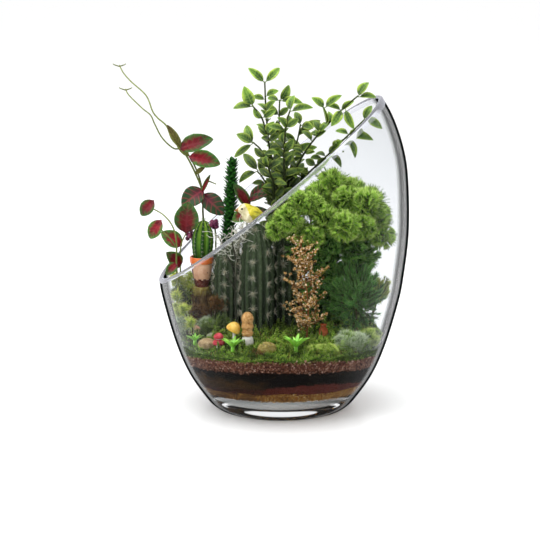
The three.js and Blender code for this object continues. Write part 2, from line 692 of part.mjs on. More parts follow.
const FAN_FRONDS = [
  {
    name: "fan_frond_left", foot: [28, -9],
    limbs: [
      [[27, -10, 100], [25, -13, 130], [23, -14, 160]],
      [[25, -13, 132], [16, -17, 148], [7, -20, 156]],
    ],
    heads: [[6, -20, 156, 14], [24, -14, 166, 13], [25, -24, 142, 11]],
  },
  {
    name: "fan_frond_top", foot: [40, 24],
    limbs: [
      [[41, 22, 110], [42, 16, 150], [41, 9, 176]],
      [[42, 18, 145], [51, 26, 160], [57, 29, 168]],
    ],
    heads: [[41, 9, 178, 15], [58, 30, 169, 14]],
  },
  {
    name: "fan_frond_right", foot: [63, 20],
    limbs: [
      [[61, 16, 90], [60, 9, 112], [61, 2, 135], [66, -2, 160]],
      [[61, 3, 132], [72, -2, 138], [82, -5, 140]],
      [[61, 3, 130], [56, -10, 140], [50, -22, 150]],
      [[61, 8, 120], [70, 17, 135], [76, 21, 146]],
    ],
    heads: [[67, -3, 164, 17], [81, -5, 139, 12], [50, -25, 151, 14.5], [75, 21, 145, 13]],
  },
];
FAN_FRONDS.forEach(({ name, foot, limbs, heads }, k) => {
  reseed(80 + k);
  const roots = stand(...foot, 1.6);
  const paths = limbs.map((limb, n) => [...(n ? [] : roots), ...limb.map((p) => point(...p))]);
  const stems = paths.map((path, n) => solid(tube(path, n ? 1.1 : 1.5, 4, path.length + 1)));
  const blades = heads.flatMap(([x, y, z, reach]) => fanHead(point(x, y, z), reach, 6));
  add(name, largest(fuse([...stems, ...blades])), "#7fae3c", 0.7);
});

// ---- needle bushes, tufts and moss cushions ----
// Needles on all sides of a slim core, longest where they point up and sideways.
function tuft({ foot, core, lift, lean = [0, 0], root = 1.6, reach, count, lowest, thickness = 0.9 }) {
  const [x, y] = foot;
  const [buried] = stand(x, y, root);
  const middle = point(x + lean[0], y + lean[1], bedTop(x, y) + lift);
  const pieces = [
    solid(tube([buried, buried.clone().setZ(buried.z + SOCKET + 3), middle], root, 5, 4)),
    solid(new THREE.IcosahedronGeometry(1, 0).scale(...core).translate(...middle)),
  ];
  directions(count, lowest).forEach((way) => {
    const start = way.clone().multiply(point(...core)).multiplyScalar(0.6).add(middle);
    const length = reach * random(0.75, 1);
    const aim = way.clone().setZ(way.z + 0.35);
    pieces.push(solid(placed(needle(length, thickness), start, aim, point(0.3, 0.2, 1))));
  });
  return largest(fuse(pieces));
}

reseed(91);
const bush = { foot: [58, -17], core: [15, 11, 20], lift: 27, reach: 19, count: 54, lowest: -0.7 };
add("needle_bush", tuft({ ...bush, thickness: 1.4, root: 2.4 }), "#1f4d24", 0.75);
add(
  "yellow_green_tuft",
  tuft({ foot: [73, 11], core: [4, 4, 5], lift: 26, reach: 11, count: 16, lowest: -0.4, lean: [4, -1] }),
  "#9fb23a",
  0.75,
);

// A low cushion of moss: a flattened dome that short needles cover.
function cushion([x, y], [wide, deep, high], count, reach) {
  const ground = bedTop(x, y) - 0.5;
  const dome = solid(pebbleShape(2 * wide, 2 * deep, 2 * high, 0).translate(x, y, ground));
  dent(x, y, ground - high, wide, deep);
  const needles = directions(count, 0.25).map((way) => {
    const start = point(x + way.x * wide * 0.8, y + way.y * deep * 0.8, ground + way.z * high * 0.8);
    return solid(placed(needle(reach, 0.8), start, way.clone().setZ(way.z + 0.3), point(0.3, 0.2, 1)));
  });
  return largest(fuse([dome, ...needles]));
}
add("frosty_moss", cushion([54, -48], [12, 7, 10], 16, 5), "#8fa08a", 0.95);
add("lime_moss_right", cushion([69, -30], [6, 7, 7], 11, 5), "#a8c23c", 0.9);
add("lime_moss_front", cushion([31, -64], [11, 4.5, 3.5], 11, 3.5), "#93b53a", 0.9);

// Moss sprigs at the left wall: wiry stalks with a needled bloom at each tip.
function mossSprigs() {
  reseed(95);
  const [buried, ground] = stand(-69, -29, 1.2);
  const tips = [point(-82, -19, 94), point(-76, -30, 86), point(-70, -35, 76)];
  const pieces = [solid(tube([buried, ground, point(-70, -29, 66)], 1.2, 5, 4))];
  for (const tip of tips) {
    const fork = point(-69.5, -29, 64);
    pieces.push(solid(tube([fork, fork.clone().lerp(tip, 0.5), tip], 0.8, 3, 3)));
    pieces.push(solid(new THREE.OctahedronGeometry(2.4).translate(...tip)));
    for (const way of directions(7, -0.6)) {
      const spine = placed(needle(3.6, 0.9), tip.clone().addScaledVector(way, 1.1), way, point(0.3, 0.2, 1));
      pieces.push(solid(spine));
    }
  }
  return largest(fuse(pieces));
}
add("moss_sprigs", mossSprigs(), "#8aa03a", 0.85);

// ---- dried spray: thin branches with bead-like seed heads ----
function driedSpray() {
  reseed(101);
  const [buried, ground] = stand(20, -38, 0.9);
  const top = point(15, -35, 140);
  const stalk = new THREE.CatmullRomCurve3([buried, ground, point(21, -37, 90), point(18, -36, 115), top]);
  const pieces = [solid(tube(stalk.points, 0.9, 4, 8))];
  for (let branch = 0; branch < 9; branch++) {
    const root = stalk.getPointAt(0.22 + 0.086 * branch);
    const turn = branch * 2.4 + 0.3;
    const spread = 15 - Math.abs(branch - 4) * 0.9;
    const tip = root.clone().add(point(Math.cos(turn) * spread, Math.sin(turn) * 5, 9));
    const bend = root.clone().lerp(tip, 0.5).add(point(0, 0, -1.5));
    pieces.push(solid(tube([root, bend, tip], 0.6, 3, 2)));
    for (const share of [0.62, 1]) {
      const bead = root.clone().lerp(tip, share).add(point(0, 0, share < 1 ? -0.9 : 0));
      pieces.push(solid(new THREE.OctahedronGeometry(1.7).translate(...bead)));
    }
  }
  return largest(fuse(pieces));
}
add("dried_spray", driedSpray(), "#b9763a", 0.8);

// ---- lime strap-leaf rosettes ----
const ROSETTES = [
  { name: "lime_rosette_middle", x: -37, y: -62, reach: 9.5, leaves: 6 },
  { name: "lime_rosette_right", x: 11, y: -66, reach: 11, leaves: 6 },
  { name: "lime_rosette_left", x: -66.5, y: -37, reach: 7, leaves: 5 },
];
ROSETTES.forEach(({ name, x, y, reach, leaves }, k) => {
  reseed(110 + k);
  const [buried, ground] = stand(x, y, 1.6, 5);
  const pieces = [solid(tube([buried, ground], 1.6, 6, 1))];
  for (let n = 0; n < leaves; n++) {
    const turn = ((n + 0.3) / leaves) * Math.PI * 2;
    const way = point(Math.cos(turn), Math.sin(turn) * 0.75, 0.75 + 0.5 * (n % 2));
    const blade = leaf({ length: reach, width: 2.9, thick: 1.3, droop: 0.25, outline: STRAP });
    pieces.push(solid(placed(blade, ground.clone().setZ(ground.z - 1.5), way)));
  }
  add(name, largest(fuse(pieces)), "#8fdc3a", 0.5);
});

// ---- pebbles ----
const PEBBLES = [
  { name: "tan_pebble", at: [-57, -47, 1.5], size: [13.5, 9, 9], colour: "#a38a63", seed: 1 },
  { name: "grey_green_pebble", at: [-53, -30, 0.8], size: [11, 8, 5.5], colour: "#7c8068", seed: 2 },
  { name: "olive_pebble", at: [-11, -66, 2], size: [15, 9, 10.5], colour: "#8a7a42", seed: 3 },
  { name: "pink_pebble", at: [-68, -17, 3], size: [9.5, 8, 9.5], colour: "#c48f78", seed: 4 },
];
for (const { name, at: [x, y, lift], size, colour, seed: draw } of PEBBLES) {
  reseed(draw);
  const stone = solid(pebbleShape(...size).translate(x, y, bedTop(x, y) + lift));
  dent(x, y, bedTop(x, y) + lift - size[2] * 0.53, size[0] * 0.49, size[1] * 0.49);
  add(name, stone, colour, 0.85);
}

// ---- small ornaments ----
const onBed = (x, y, lift = 0) => [x, y, bedTop(x, y) + lift];
const FOOT_PLACE = onBed(-26, -53, -1.5);
const footProfile = [[0, 0], [3.6, 0], [4.6, 3], [4.2, 7], [3.4, 8.6], [0, 8.6]];
dent(-26, -53, FOOT_PLACE[2], 4.2, 4.2);
add("toadstool_foot", turned(footProfile, FOOT_PLACE), "#d9d4cc", 0.6);

const bodyProfile = [
  [0, 0], [3.6, 0], [4.4, 2.4], [3.6, 4.6], [4.6, 7.5],
  [3.9, 10], [4.7, 13], [3.8, 16], [2.2, 18], [0, 18.6],
];
const bodyPlace = [-26, -53, FOOT_PLACE[2] + 8.6 + GAP];
add("toadstool_body", turned(bodyProfile, bodyPlace), "#b98a52", 0.65);

function yellowToadstool() {
  const [buried, ground] = stand(-36, -51, 1.2, 6);
  const neck = point(-36.5, -52, 76);
  const cap = new THREE.LatheGeometry(
    [[0, -1], [3, -1], [5.4, -2.2], [5, 1], [3.2, 3.8], [0, 5]].map(([r, h]) => new THREE.Vector2(r, h)),
    9,
  );
  cap.rotateX(Math.PI / 2).rotateY(-0.5).translate(...neck);
  return largest(fuse([solid(tube([buried, ground, neck], 1.2, 5, 4)), solid(cap)]));
}
add("yellow_toadstool", yellowToadstool(), "#dcae4a", 0.55);

const CAPS_PLACE = onBed(-48, -53, -1.5);
const capsProfile = [
  [0, 0], [1.8, 0], [1.8, 3], [4.2, 3.2], [4.4, 5], [2.4, 7],
  [1.8, 7.6], [3.6, 8], [3.8, 9.6], [2, 11.6], [0, 12],
];
dent(-48, -53, CAPS_PLACE[2], 1.8, 1.8);
add("red_toadstools", turned(capsProfile, CAPS_PLACE), "#b0303a", 0.45);

const JAR_PLACE = onBed(33, -31, -1.5);
const jarProfile = [[0, 0], [2, 0], [3.4, 3], [3.3, 6], [2, 8.5], [2.6, 10.5], [0, 10.5]];
dent(33, -31, JAR_PLACE[2], 2.8, 2.8);
add("terracotta_jar", turned(jarProfile, JAR_PLACE), "#a5522c", 0.8);

// A small bird, facing left, on the crown of the middle cactus.
function bird() {
  const middle = point(-22.5, -11.2, 157.4);
  const ball = (sizes, offset, detail) =>
    new THREE.IcosahedronGeometry(1, detail).scale(...sizes).translate(...middle.clone().add(offset));
  const beak = placed(needle(6, 1.6), middle.clone().add(point(-8.5, 0, 4)), point(-1, 0, -0.15));
  const tail = placed(
    leaf({ length: 12, width: 5.5, thick: 1.8, keel: 0, droop: 0, outline: STRAP }),
    middle.clone().add(point(5, 0, 0.5)),
    point(1, 0, 0.25),
  );
  return largest(
    fuse([
      solid(ball([9, 7, 7.4], point(0, 0, 0), 1)),
      solid(ball([5.2, 5, 5], point(-6, 0, 4), 1)),
      solid(beak),
      solid(tail),
    ]),
  );
}
add("bird_figure", bird(), "#d9cf4a", 0.5);

// ---- moss bed and grit, cut for everything that stands in them ----
const sockets = fuse(socketCutters);
add("moss_bed", largest(bed.subtract(sockets)), "#4c6a26", 0.95);
add("grit_layer", largest(grit.subtract(sockets)), "#7a3f30", 0.95);

export default terrarium;
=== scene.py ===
import functools
import math
import re
import bpy
import numpy as np
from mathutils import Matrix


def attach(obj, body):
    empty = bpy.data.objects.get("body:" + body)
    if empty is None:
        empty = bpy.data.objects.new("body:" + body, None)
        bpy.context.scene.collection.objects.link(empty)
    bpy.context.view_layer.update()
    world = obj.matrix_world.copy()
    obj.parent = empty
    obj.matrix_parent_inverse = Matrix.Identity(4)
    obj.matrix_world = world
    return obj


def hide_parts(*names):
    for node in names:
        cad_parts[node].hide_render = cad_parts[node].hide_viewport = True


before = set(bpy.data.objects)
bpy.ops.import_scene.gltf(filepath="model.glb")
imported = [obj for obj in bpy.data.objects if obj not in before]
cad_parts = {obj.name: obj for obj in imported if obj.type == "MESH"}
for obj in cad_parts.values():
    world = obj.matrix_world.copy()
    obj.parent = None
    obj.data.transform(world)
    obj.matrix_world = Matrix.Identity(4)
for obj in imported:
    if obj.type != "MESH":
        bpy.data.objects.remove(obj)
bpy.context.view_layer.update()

# Glass plant terrarium. Lengths in this script are millimetres until putPiece turns them into metres.
# +Z is up, the low rim of the slanted mouth is at -X, the high rim at +X, and the front is -Y.
toMetres = 0.001
fullTurn = 2 * math.pi
goldenTurn = math.pi * (3 - math.sqrt(5))
upright = np.array([0, 0, 1])


def hexToLinear(text):  # sRGB hex to the linear colour that a shader wants
    channels = np.array([int(text[k:k + 2], 16) for k in (1, 3, 5)]) / 255
    linear = np.where(channels <= 0.04045, channels / 12.92, ((channels + 0.055) / 1.055) ** 2.4)
    return (*linear.tolist(), 1.0)


def unit(vectors):  # each vector divided by its own length
    vectors = np.asarray(vectors, float)
    return vectors / np.maximum(np.linalg.norm(vectors, axis=-1, keepdims=True), 1e-9)


def stacked(*parts):  # arrays spread to one shape and laid side by side as coordinates
    return np.stack(np.broadcast_arrays(*parts), -1)


def evenTurns(count):  # angles of equal steps round a full turn
    return np.arange(count) / count * fullTurn


def spun(r, turn, z):  # points at the radius r, the angle turn and the height z about the upright axis
    return stacked(r * np.cos(turn), r * np.sin(turn), z)


def smoothStep(low, high, x):  # 0 below low, 1 above high, 3t^2 - 2t^3 between them
    t = np.clip((np.asarray(x, float) - low) / (high - low), 0, 1)
    return t * t * (3 - 2 * t)


def lumps(points, size, seed, waves=9):
    # Unevenness: a sum of sine waves of about one wavelength, each along its own random direction.
    draw = np.random.default_rng(seed)
    ways = unit(draw.normal(size=(waves, 3))) * (fullTurn / size) * draw.uniform(0.6, 1.6, (waves, 1))
    return np.sin(np.asarray(points) @ ways.T + draw.uniform(0, fullTurn, waves)).sum(-1) / math.sqrt(waves)


def curved(points, steps):
    # A Catmull-Rom curve: between b and c it is a cubic whose slopes there are (c-a)/2 and (d-b)/2.
    p = np.asarray(points, float)
    p = np.vstack([2 * p[0] - p[1], p, 2 * p[-1] - p[-2]])
    t = np.linspace(0, len(points) - 1, steps)
    k = np.minimum(t.astype(int), len(points) - 2)
    f = (t - k)[:, None]
    a, b, c, d = p[k], p[k + 1], p[k + 2], p[k + 3]
    return 0.5 * (2 * b + (c - a) * f + (2 * a - 5 * b + 4 * c - d) * f ** 2 + (3 * b - a - 3 * c + d)
        * f ** 3)


def seededDraw(state):
    # The last state times a large number, plus another, kept to 32 bits.
    def draw(low=0.0, high=1.0):
        nonlocal state
        state = (state * 1664525 + 1013904223) % 4294967296
        return low + (high - low) * state / 4294967296
    return draw


def drawsOf(look):  # the row of random draws that starts from a piece's own seed
    return np.random.default_rng(look["seed"])


def pointAt(path, share):  # the point at a share of a path's length, by straight steps between its points
    length = np.concatenate([[0], np.cumsum(np.linalg.norm(np.diff(path, axis=0), axis=1))])
    return np.stack([np.interp(np.asarray(share) * length[-1], length, path[:, k]) for k in range(3)], -1)


def allRound(count, lowest=-1.0):
    # Golden-angle points on a ball, at heights of equal steps from straight up down to lowest.
    k = np.arange(count)
    height = 1 - (k + 0.5) / count * (1 - lowest)
    return spun(np.sqrt(1 - height ** 2), k * goldenTurn, height)


# A shape is its points, its faces of four and of three corners, a paint number for each face, and for
# each point three values that its material reads: how far along, how far across, and a random number.
def triangleShape(points, grow, tris):  # a shape of triangles alone
    return {"points": points, "grow": grow, "quads": np.zeros((0, 4), int), "tris": tris,
        "quadPaint": np.zeros(0, int), "triPaint": np.zeros(len(tris), int)}


def wrapRings(rings, grow=None, paint=0):
    # A closed skin over rings[row, point]; the first and last rings are drawn in to their middles.
    rows, count = rings.shape[:2]
    points = np.vstack([rings.reshape(-1, 3), rings[0].mean(0), rings[-1].mean(0)])
    if grow is None:
        along, across = np.meshgrid(np.linspace(0, 1, rows), np.linspace(-1, 1, count), indexing="ij")
        grow = stacked(along, across, np.full_like(along, 0.5))
    grow = np.vstack([grow.reshape(-1, 3), grow[0].mean(0), grow[-1].mean(0)])
    k = np.arange(count)
    after = (k + 1) % count
    start = (np.arange(rows - 1) * count)[:, None]
    quads = stacked(start + k, start + after, start + after + count, start + k + count).reshape(-1, 4)
    end = (rows - 1) * count
    tris = np.vstack([stacked(after, k, np.full(count, rows * count)),
        stacked(end + k, end + after, np.full(count, rows * count + 1))])
    return {"points": points, "grow": grow, "quads": quads, "tris": tris,
        "quadPaint": np.full(len(quads), paint), "triPaint": np.full(len(tris), paint)}


def tube(path, radii, sides=6, paint=0, ownDraw=0.5):
    # A round stem: circles of the given radii, each square to the path's direction there.
    path = np.asarray(path, float)
    tangent = unit(np.gradient(path, axis=0))
    helper = np.eye(3)[np.abs(tangent).max(0).argmin()]
    sideways = unit(np.cross(helper, tangent))
    over = np.cross(tangent, sideways)
    turn = evenTurns(sides)
    reach = np.broadcast_to(np.asarray(radii, float), len(path))[:, None, None]
    circle = sideways[:, None] * np.cos(turn)[:, None] + over[:, None] * np.sin(turn)[:, None]
    along = np.linspace(0, 1, len(path))[:, None]
    grow = stacked(along, np.cos(turn), ownDraw)
    return wrapRings(path[:, None] + reach * circle, grow, paint)


def join(shapes):  # one shape of several, with the corner numbers of each moved past those before it
    shifts = np.cumsum([0] + [len(s["points"]) for s in shapes[:-1]])
    whole = {key: np.concatenate([s[key] for s in shapes]) for key in ("points", "grow", "quadPaint",
        "triPaint")}
    for key in ("quads", "tris"):
        whole[key] = np.concatenate([s[key] + shift for s, shift in zip(shapes, shifts)])
    return whole


def paintFaces(shape, paintAt):  # gives each face the paint number that belongs to the place of its middle
    for faces, paint in (("quads", "quadPaint"), ("tris", "triPaint")):
        shape[paint] = paintAt(shape["points"][shape[faces]].mean(1))
    return shape


def scatter(shape, origin, along, up, size, draw, paint=0):
    # Copies of one shape: its +X is laid along each direction, its +Z towards up, at each origin and size.
    origin, along, up = (np.atleast_2d(np.asarray(a, float)) for a in (origin, along, up))
    count = max(len(origin), len(along))
    origin = np.broadcast_to(origin, (count, 3))
    x = unit(np.broadcast_to(along, (count, 3)))
    y = unit(np.cross(np.broadcast_to(up, (count, 3)) + 1e-4, x))
    z = np.cross(x, y)
    size = np.asarray(size, float)
    if size.ndim < 2:
        size = np.broadcast_to(size.reshape(-1, 1) if size.ndim else size, (count, 3))
    placed = (shape["points"][None] * size[:, None]) @ np.stack([x, y, z], 1) + origin[:, None]
    grow = np.broadcast_to(shape["grow"], (count, *shape["grow"].shape)).copy()
    grow[..., 2] = np.broadcast_to(np.asarray(draw, float), count)[:, None]
    shift = (np.arange(count) * len(shape["points"]))[:, None, None]
    quads = (shape["quads"][None] + shift).reshape(-1, 4)
    tris = (shape["tris"][None] + shift).reshape(-1, 3)
    return {"points": placed.reshape(-1, 3), "grow": grow.reshape(-1, 3), "quads": quads, "tris": tris,
        "quadPaint": np.full(len(quads), paint), "triPaint": np.full(len(tris), paint)}


def ball(rows=8, count=10):  # a unit ball: rings of radius sin(a) at height -cos(a)
    a = np.linspace(0, math.pi, rows + 2)[1:-1, None]
    shape = wrapRings(spun(np.sin(a), evenTurns(count), -np.cos(a)))
    shape["points"][-2:] = [[0, 0, -1], [0, 0, 1]]
    return shape


def turnedShape(look, place):
    # A piece turned on a lathe: a smooth outline of (radius, height) pairs, spun about its upright axis.
    outline = curved([(r, 0, h) for r, h in look["outline"]], look.get("rows", 60))
    rings = spun(np.maximum(outline[:, :1], 0.02), evenTurns(look.get("around", 48)), outline[:, 2:3])
    c, s = math.cos(look.get("tilt", 0)), math.sin(look.get("tilt", 0))
    return wrapRings(rings @ np.array([[c, 0, -s], [0, 1, 0], [s, 0, c]]).T + place)


def sliver():
    # The plainest needle: a triangle of unit radius at the root and one point at the tip.
    turn = evenTurns(3)
    points = np.vstack([stacked(0 * turn, np.cos(turn), np.sin(turn)), [1, 0, 0]])
    grow = np.array([[0, 1, 0.5], [0, -0.5, 0.5], [0, -0.5, 0.5], [1, 0, 0.5]])
    return triangleShape(points, grow, np.array([[0, 2, 1], [0, 1, 3], [1, 2, 3], [2, 0, 3]]))


def spike():
    # A needle of unit length along +X, four-sided, that keeps its girth and then draws in to a point.
    x = np.array([[0], [0.82]])
    turn = evenTurns(4)
    r = 1 - 0.75 * x ** 1.5
    rings = stacked(x, r * np.cos(turn), r * np.sin(turn))
    shape = wrapRings(rings, stacked(x, np.cos(turn), 0.5))
    shape["points"][-1] = [1, 0, 0]
    shape["grow"][-1, 0] = 1
    return shape


def spikes(origin, along, length, radius, draw, form=None, paint=0):
    # Needles with their own lengths; across them they measure their radius.
    length = np.broadcast_to(np.asarray(length, float), len(origin))
    radius = np.broadcast_to(np.asarray(radius, float), len(origin))
    size = stacked(length, radius, radius)
    return scatter(form or sliver(), origin, along, (0.31, 0.17, 1), size, draw, paint)


# How wide a leaf is at the share t of its length: sin(pi * t^lean)^fullness. A lean under 1 moves the
# widest place towards the root, and a low fullness makes both ends blunt.
ovateLeaf = {"lean": 0.82, "fullness": 0.85}
ovalLeaf = {"lean": 0.95, "fullness": 0.62}
roundLeaf = {"lean": 0.9, "fullness": 0.6}
strapLeaf = {"lean": 1.4, "fullness": 0.6}


def blade(rows, sides, outline, keel, droop, stalk=0.0, wave=0.0):
    # A leaf of unit length and width: a flat oval section as wide as its outline says, folded up along
    # the midrib by keel and drooping by droop * t^2. The first share of its length is a stalk.
    t = ((1 - np.cos(np.linspace(0.12, math.pi - 0.1, rows))) / 2)[:, None]
    turn = evenTurns(sides)
    share = np.clip((t - stalk) / (1 - stalk), 0, 1)
    width = np.sin(math.pi * share ** outline["lean"]) ** outline["fullness"]
    half = np.maximum(width / 2, 0.05)
    y = half * np.cos(turn)
    ripple = wave * np.abs(np.cos(turn)) ** 2 * np.sin(t * 26) * half
    thickness = 0.045 * np.sin(turn) * np.sin(math.pi * (0.12 + 0.8 * t))
    z = thickness + keel * np.abs(y) * 2 - droop * t ** 2 + ripple
    across = np.cos(turn) * np.minimum(share * 6, 1)  # the stalk has the colour of the midrib
    shape = wrapRings(stacked(t, y, z), stacked(share, across, 0.5))
    shape["points"][-2, 0], shape["points"][-1, 0] = 0, 1
    return shape


def plate(rim, across, keel=0.0, thick=0.05):
    # A small leaf of two skins that share one rim; its sides are folded up by keel times their distance.
    rim = np.asarray(rim, float)
    rim = np.column_stack([rim, keel * np.abs(rim[:, 1])])
    points = np.vstack([rim, [0.45, 0, thick], [0.45, 0, -thick * 0.3]])
    middle = [0.45, 0, 0.5]
    grow = np.vstack([np.column_stack([rim[:, 0], across, np.full(len(rim), 0.5)]), middle, middle])
    k = np.arange(len(rim))
    after = (k + 1) % len(rim)
    top = stacked(k, after, 0 * k + len(rim))
    return triangleShape(points, grow, np.vstack([top, stacked(after, k, 0 * k + len(rim) + 1)]))


def grain():  # a stone of six points and eight faces, one point each way
    points = np.array([[1, 0, 0], [0, 1, 0], [-1, 0, 0], [0, -1, 0], [0, 0, 1], [0, 0, -1]], float)
    k = np.arange(4)
    after = (k + 1) % 4
    tris = np.vstack([stacked(k, after, 0 * k + 4), stacked(after, k, 0 * k + 5)])
    return triangleShape(points, np.full((6, 3), 0.5), tris)


def smallLeaf():  # an oval of six rim points
    rim = [(0, 0), (0.3, -0.4), (0.72, -0.38), (1, 0), (0.72, 0.38), (0.3, 0.4)]
    return plate(rim, [0, 1, 1, 0, 1, 1], 0.35)


def toothedFan(teeth, spread, notch):
    # A fan about its root: tips at a radius of 1 and notches at 1 - notch, shorter to both sides.
    turn = np.linspace(-0.5, 0.5, 2 * teeth - 1) * spread
    between = np.arange(len(turn)) % 2
    r = (1 - notch * between) * np.cos(turn * 0.7)
    return plate([(0, 0), *zip(r * np.cos(turn), r * np.sin(turn))], [0, *between], 0.25, 0.06)


def putPiece(name, shape, materials, slot):
    # Makes the mesh of a shape, dresses it, and lets it take the place of the solid of the same name, which
    # is written in small letters: logStump replaces log_stump.
    mesh = bpy.data.meshes.new(name)
    quads, tris = shape["quads"], shape["tris"]
    corners = np.concatenate([quads.ravel(), tris.ravel()]).astype(np.int32)
    sizes = np.concatenate([np.full(len(quads), 4), np.full(len(tris), 3)])
    starts = np.concatenate([[0], np.cumsum(sizes)[:-1]]).astype(np.int32)
    paints = np.concatenate([shape["quadPaint"], shape["triPaint"]]).astype(np.int32)
    mesh.vertices.add(len(shape["points"]))
    mesh.vertices.foreach_set("co", (shape["points"] * toMetres).astype(np.float32).ravel())
    mesh.loops.add(len(corners))
    mesh.loops.foreach_set("vertex_index", corners)
    mesh.polygons.add(len(sizes))
    mesh.polygons.foreach_set("loop_start", starts)
    mesh.polygons.foreach_set("material_index", paints)
    mesh.polygons.foreach_set("use_smooth", np.full(len(sizes), True))
    grow = mesh.attributes.new("grow", "FLOAT_VECTOR", "POINT")
    grow.data.foreach_set("vector", shape["grow"].astype(np.float32).ravel())
    mesh.update(calc_edges=True)
    mesh.validate()
    for material in materials:
        mesh.materials.append(material)
    piece = bpy.data.objects.new(name, mesh)
    bpy.context.scene.collection.objects.link(piece)
    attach(piece, "root")
    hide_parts(re.sub("([A-Z])", r"_\1", name).lower())
    print(f"{name}: {2 * len(quads) + len(tris)} triangles")


def addNode(tree, kind, settings):
    # Adds one node; the kind may have its operation behind it. A setting is a property or a socket, by name
    # or number. A node or a socket as its value is linked, hex text becomes a linear colour, and a ramp
    # gives places and their colours.
    kind, _, operation = kind.partition(" ")
    node = tree.nodes.new("ShaderNode" + kind)
    if operation:
        node.operation = operation
    for key, value in settings.items():
        if isinstance(value, bpy.types.Node):
            value = value.outputs[0]
        if isinstance(value, bpy.types.NodeSocket):
            tree.links.new(value, node.inputs[key])
        elif key == "ramp":
            while len(node.color_ramp.elements) < len(value):
                node.color_ramp.elements.new(0.5)
            for element, (place, colour) in zip(node.color_ramp.elements, value.items()):
                element.position = place
                element.color = hexToLinear(colour)
        elif isinstance(key, int) or key in node.inputs:
            node.inputs[key].default_value = hexToLinear(value) if isinstance(value, str) else value
        else:
            setattr(node, key, value)
    return node


def openMaterial(name):  # an empty material, and addNode for its own tree
    material = bpy.data.materials.new(name)
    material.use_nodes = True
    material.node_tree.nodes.clear()
    return material, functools.partial(addNode, material.node_tree)


def growthOf(node):  # the piece's own along, across and random values, as three sockets
    source = node("Attribute", {"attribute_name": "grow"})
    return node("SeparateXYZ", {0: source.outputs["Vector"]}).outputs


def grainySkin(name, look):
    # Colour from a ramp that is read by noise of the size grain and, by ownShare, by each grain's own
    # random number; the same noise gives the bump.
    material, node = openMaterial(name)
    place = node("TexCoord", {}).outputs["Object"]
    stretched = node("Mapping", {"Vector": place, "Scale": look.get("stretch", (1, 1, 1))})
    noise = node("TexNoise", {"Vector": stretched, "Scale": 1000 / look["grain"], "Detail": 4,
        "Roughness": 0.65})
    share = look.get("ownShare", 0)
    spread = node("Math MULTIPLY_ADD", {0: noise, 1: 1.9, 2: -0.45})
    common = node("Math MULTIPLY", {0: spread, 1: 1 - share})
    own = node("Math MULTIPLY", {0: growthOf(node)[2], 1: share})
    factor = node("Math ADD", {"use_clamp": True, 0: common, 1: own})
    colour = node("ValToRGB", {"ramp": look["ramp"], 0: factor})
    bump = node("Bump", {"Strength": look.get("bump", 0.4), "Distance": look["grain"] * 0.0004,
        "Height": noise})
    shader = node("BsdfPrincipled", {
        "Base Color": colour, "Normal": bump, "Roughness": look["rough"], "IOR": 1.5,
        "Specular IOR Level": look.get("shine", 0.12), "Coat Weight": look.get("coat", 0)})
    node("OutputMaterial", {0: shader})
    return material


def leafSkin(name, look):
    # A ramp along the blade, the margin colour towards its sides, and veins on the crests of a sine that
    # slants outwards. Noise of the size mottle frays them by ragged, and each leaf has its own light.
    material, node = openMaterial(name)
    along, across, own = growthOf(node)
    aside = node("Math ABSOLUTE", {0: across})
    place = node("TexCoord", {}).outputs["Object"]
    mottle = node("TexNoise", {"Vector": place, "Scale": 1000 / look.get("mottle", 5), "Detail": 3})
    offset = node("Math SUBTRACT", {0: mottle, 1: 0.5})
    stray = node("Math MULTIPLY", {0: offset, 1: look.get("ragged", 0.0)})
    frayedAlong = node("Math ADD", {0: along, 1: stray})
    frayedAside = node("Math ADD", {0: aside, 1: stray})
    body = node("ValToRGB", {"ramp": look["ramp"], 0: frayedAlong})
    borderFrom, borderTo = look.get("border", (0.55, 0.95))
    edge = node("MapRange", {0: frayedAside, 1: borderFrom, 2: borderTo})
    colour = node("MixRGB", {0: edge, 1: body, 2: look["margin"]})
    rise = node("Math MULTIPLY", {0: aside, 1: 0.22})
    slant = node("Math SUBTRACT", {0: along, 1: rise})
    phase = node("Math MULTIPLY", {0: slant, 1: look.get("veins", 7) * fullTurn})
    wave = node("Math SINE", {0: phase})
    crest = node("Math MAXIMUM", {0: wave, 1: 0})
    vein = node("Math POWER", {0: crest, 1: 6})
    rib = node("MapRange", {0: aside, 1: 0.16, 2: 0.0})
    drawn = node("Math MAXIMUM", {0: vein, 1: rib})
    lines = node("Math MULTIPLY", {"use_clamp": True, 0: drawn, 1: look.get("lines", 0)})
    colour = node("MixRGB", {0: lines, 1: colour, 2: look.get("vein", look["margin"])})
    if "rim" in look:  # a thin pale line round the leaf
        rim = node("MapRange", {0: aside, 1: 0.86, 2: 1.0})
        colour = node("MixRGB", {0: rim, 1: colour, 2: look["rim"]})
    darkest, lightest = look.get("light", (0.62, 1.18))
    light = node("MapRange", {0: own, 3: darkest, 4: lightest})
    shade = node("MapRange", {0: mottle, 1: 0.3, 2: 0.7, 3: 0.8, 4: 1.15})
    value = node("Math MULTIPLY", {0: light, 1: shade})
    colour = node("HueSaturation", {"Value": value, "Color": colour})
    bump = node("Bump", {"Strength": 0.35, "Distance": 0.0003, "invert": True, "Height": lines})
    shader = node("BsdfPrincipled", {
        "Base Color": colour, "Normal": bump, "Roughness": look.get("rough", 0.42), "IOR": 1.45,
        "Specular IOR Level": look.get("shine", 0.15)})
    node("OutputMaterial", {0: shader})
    return material


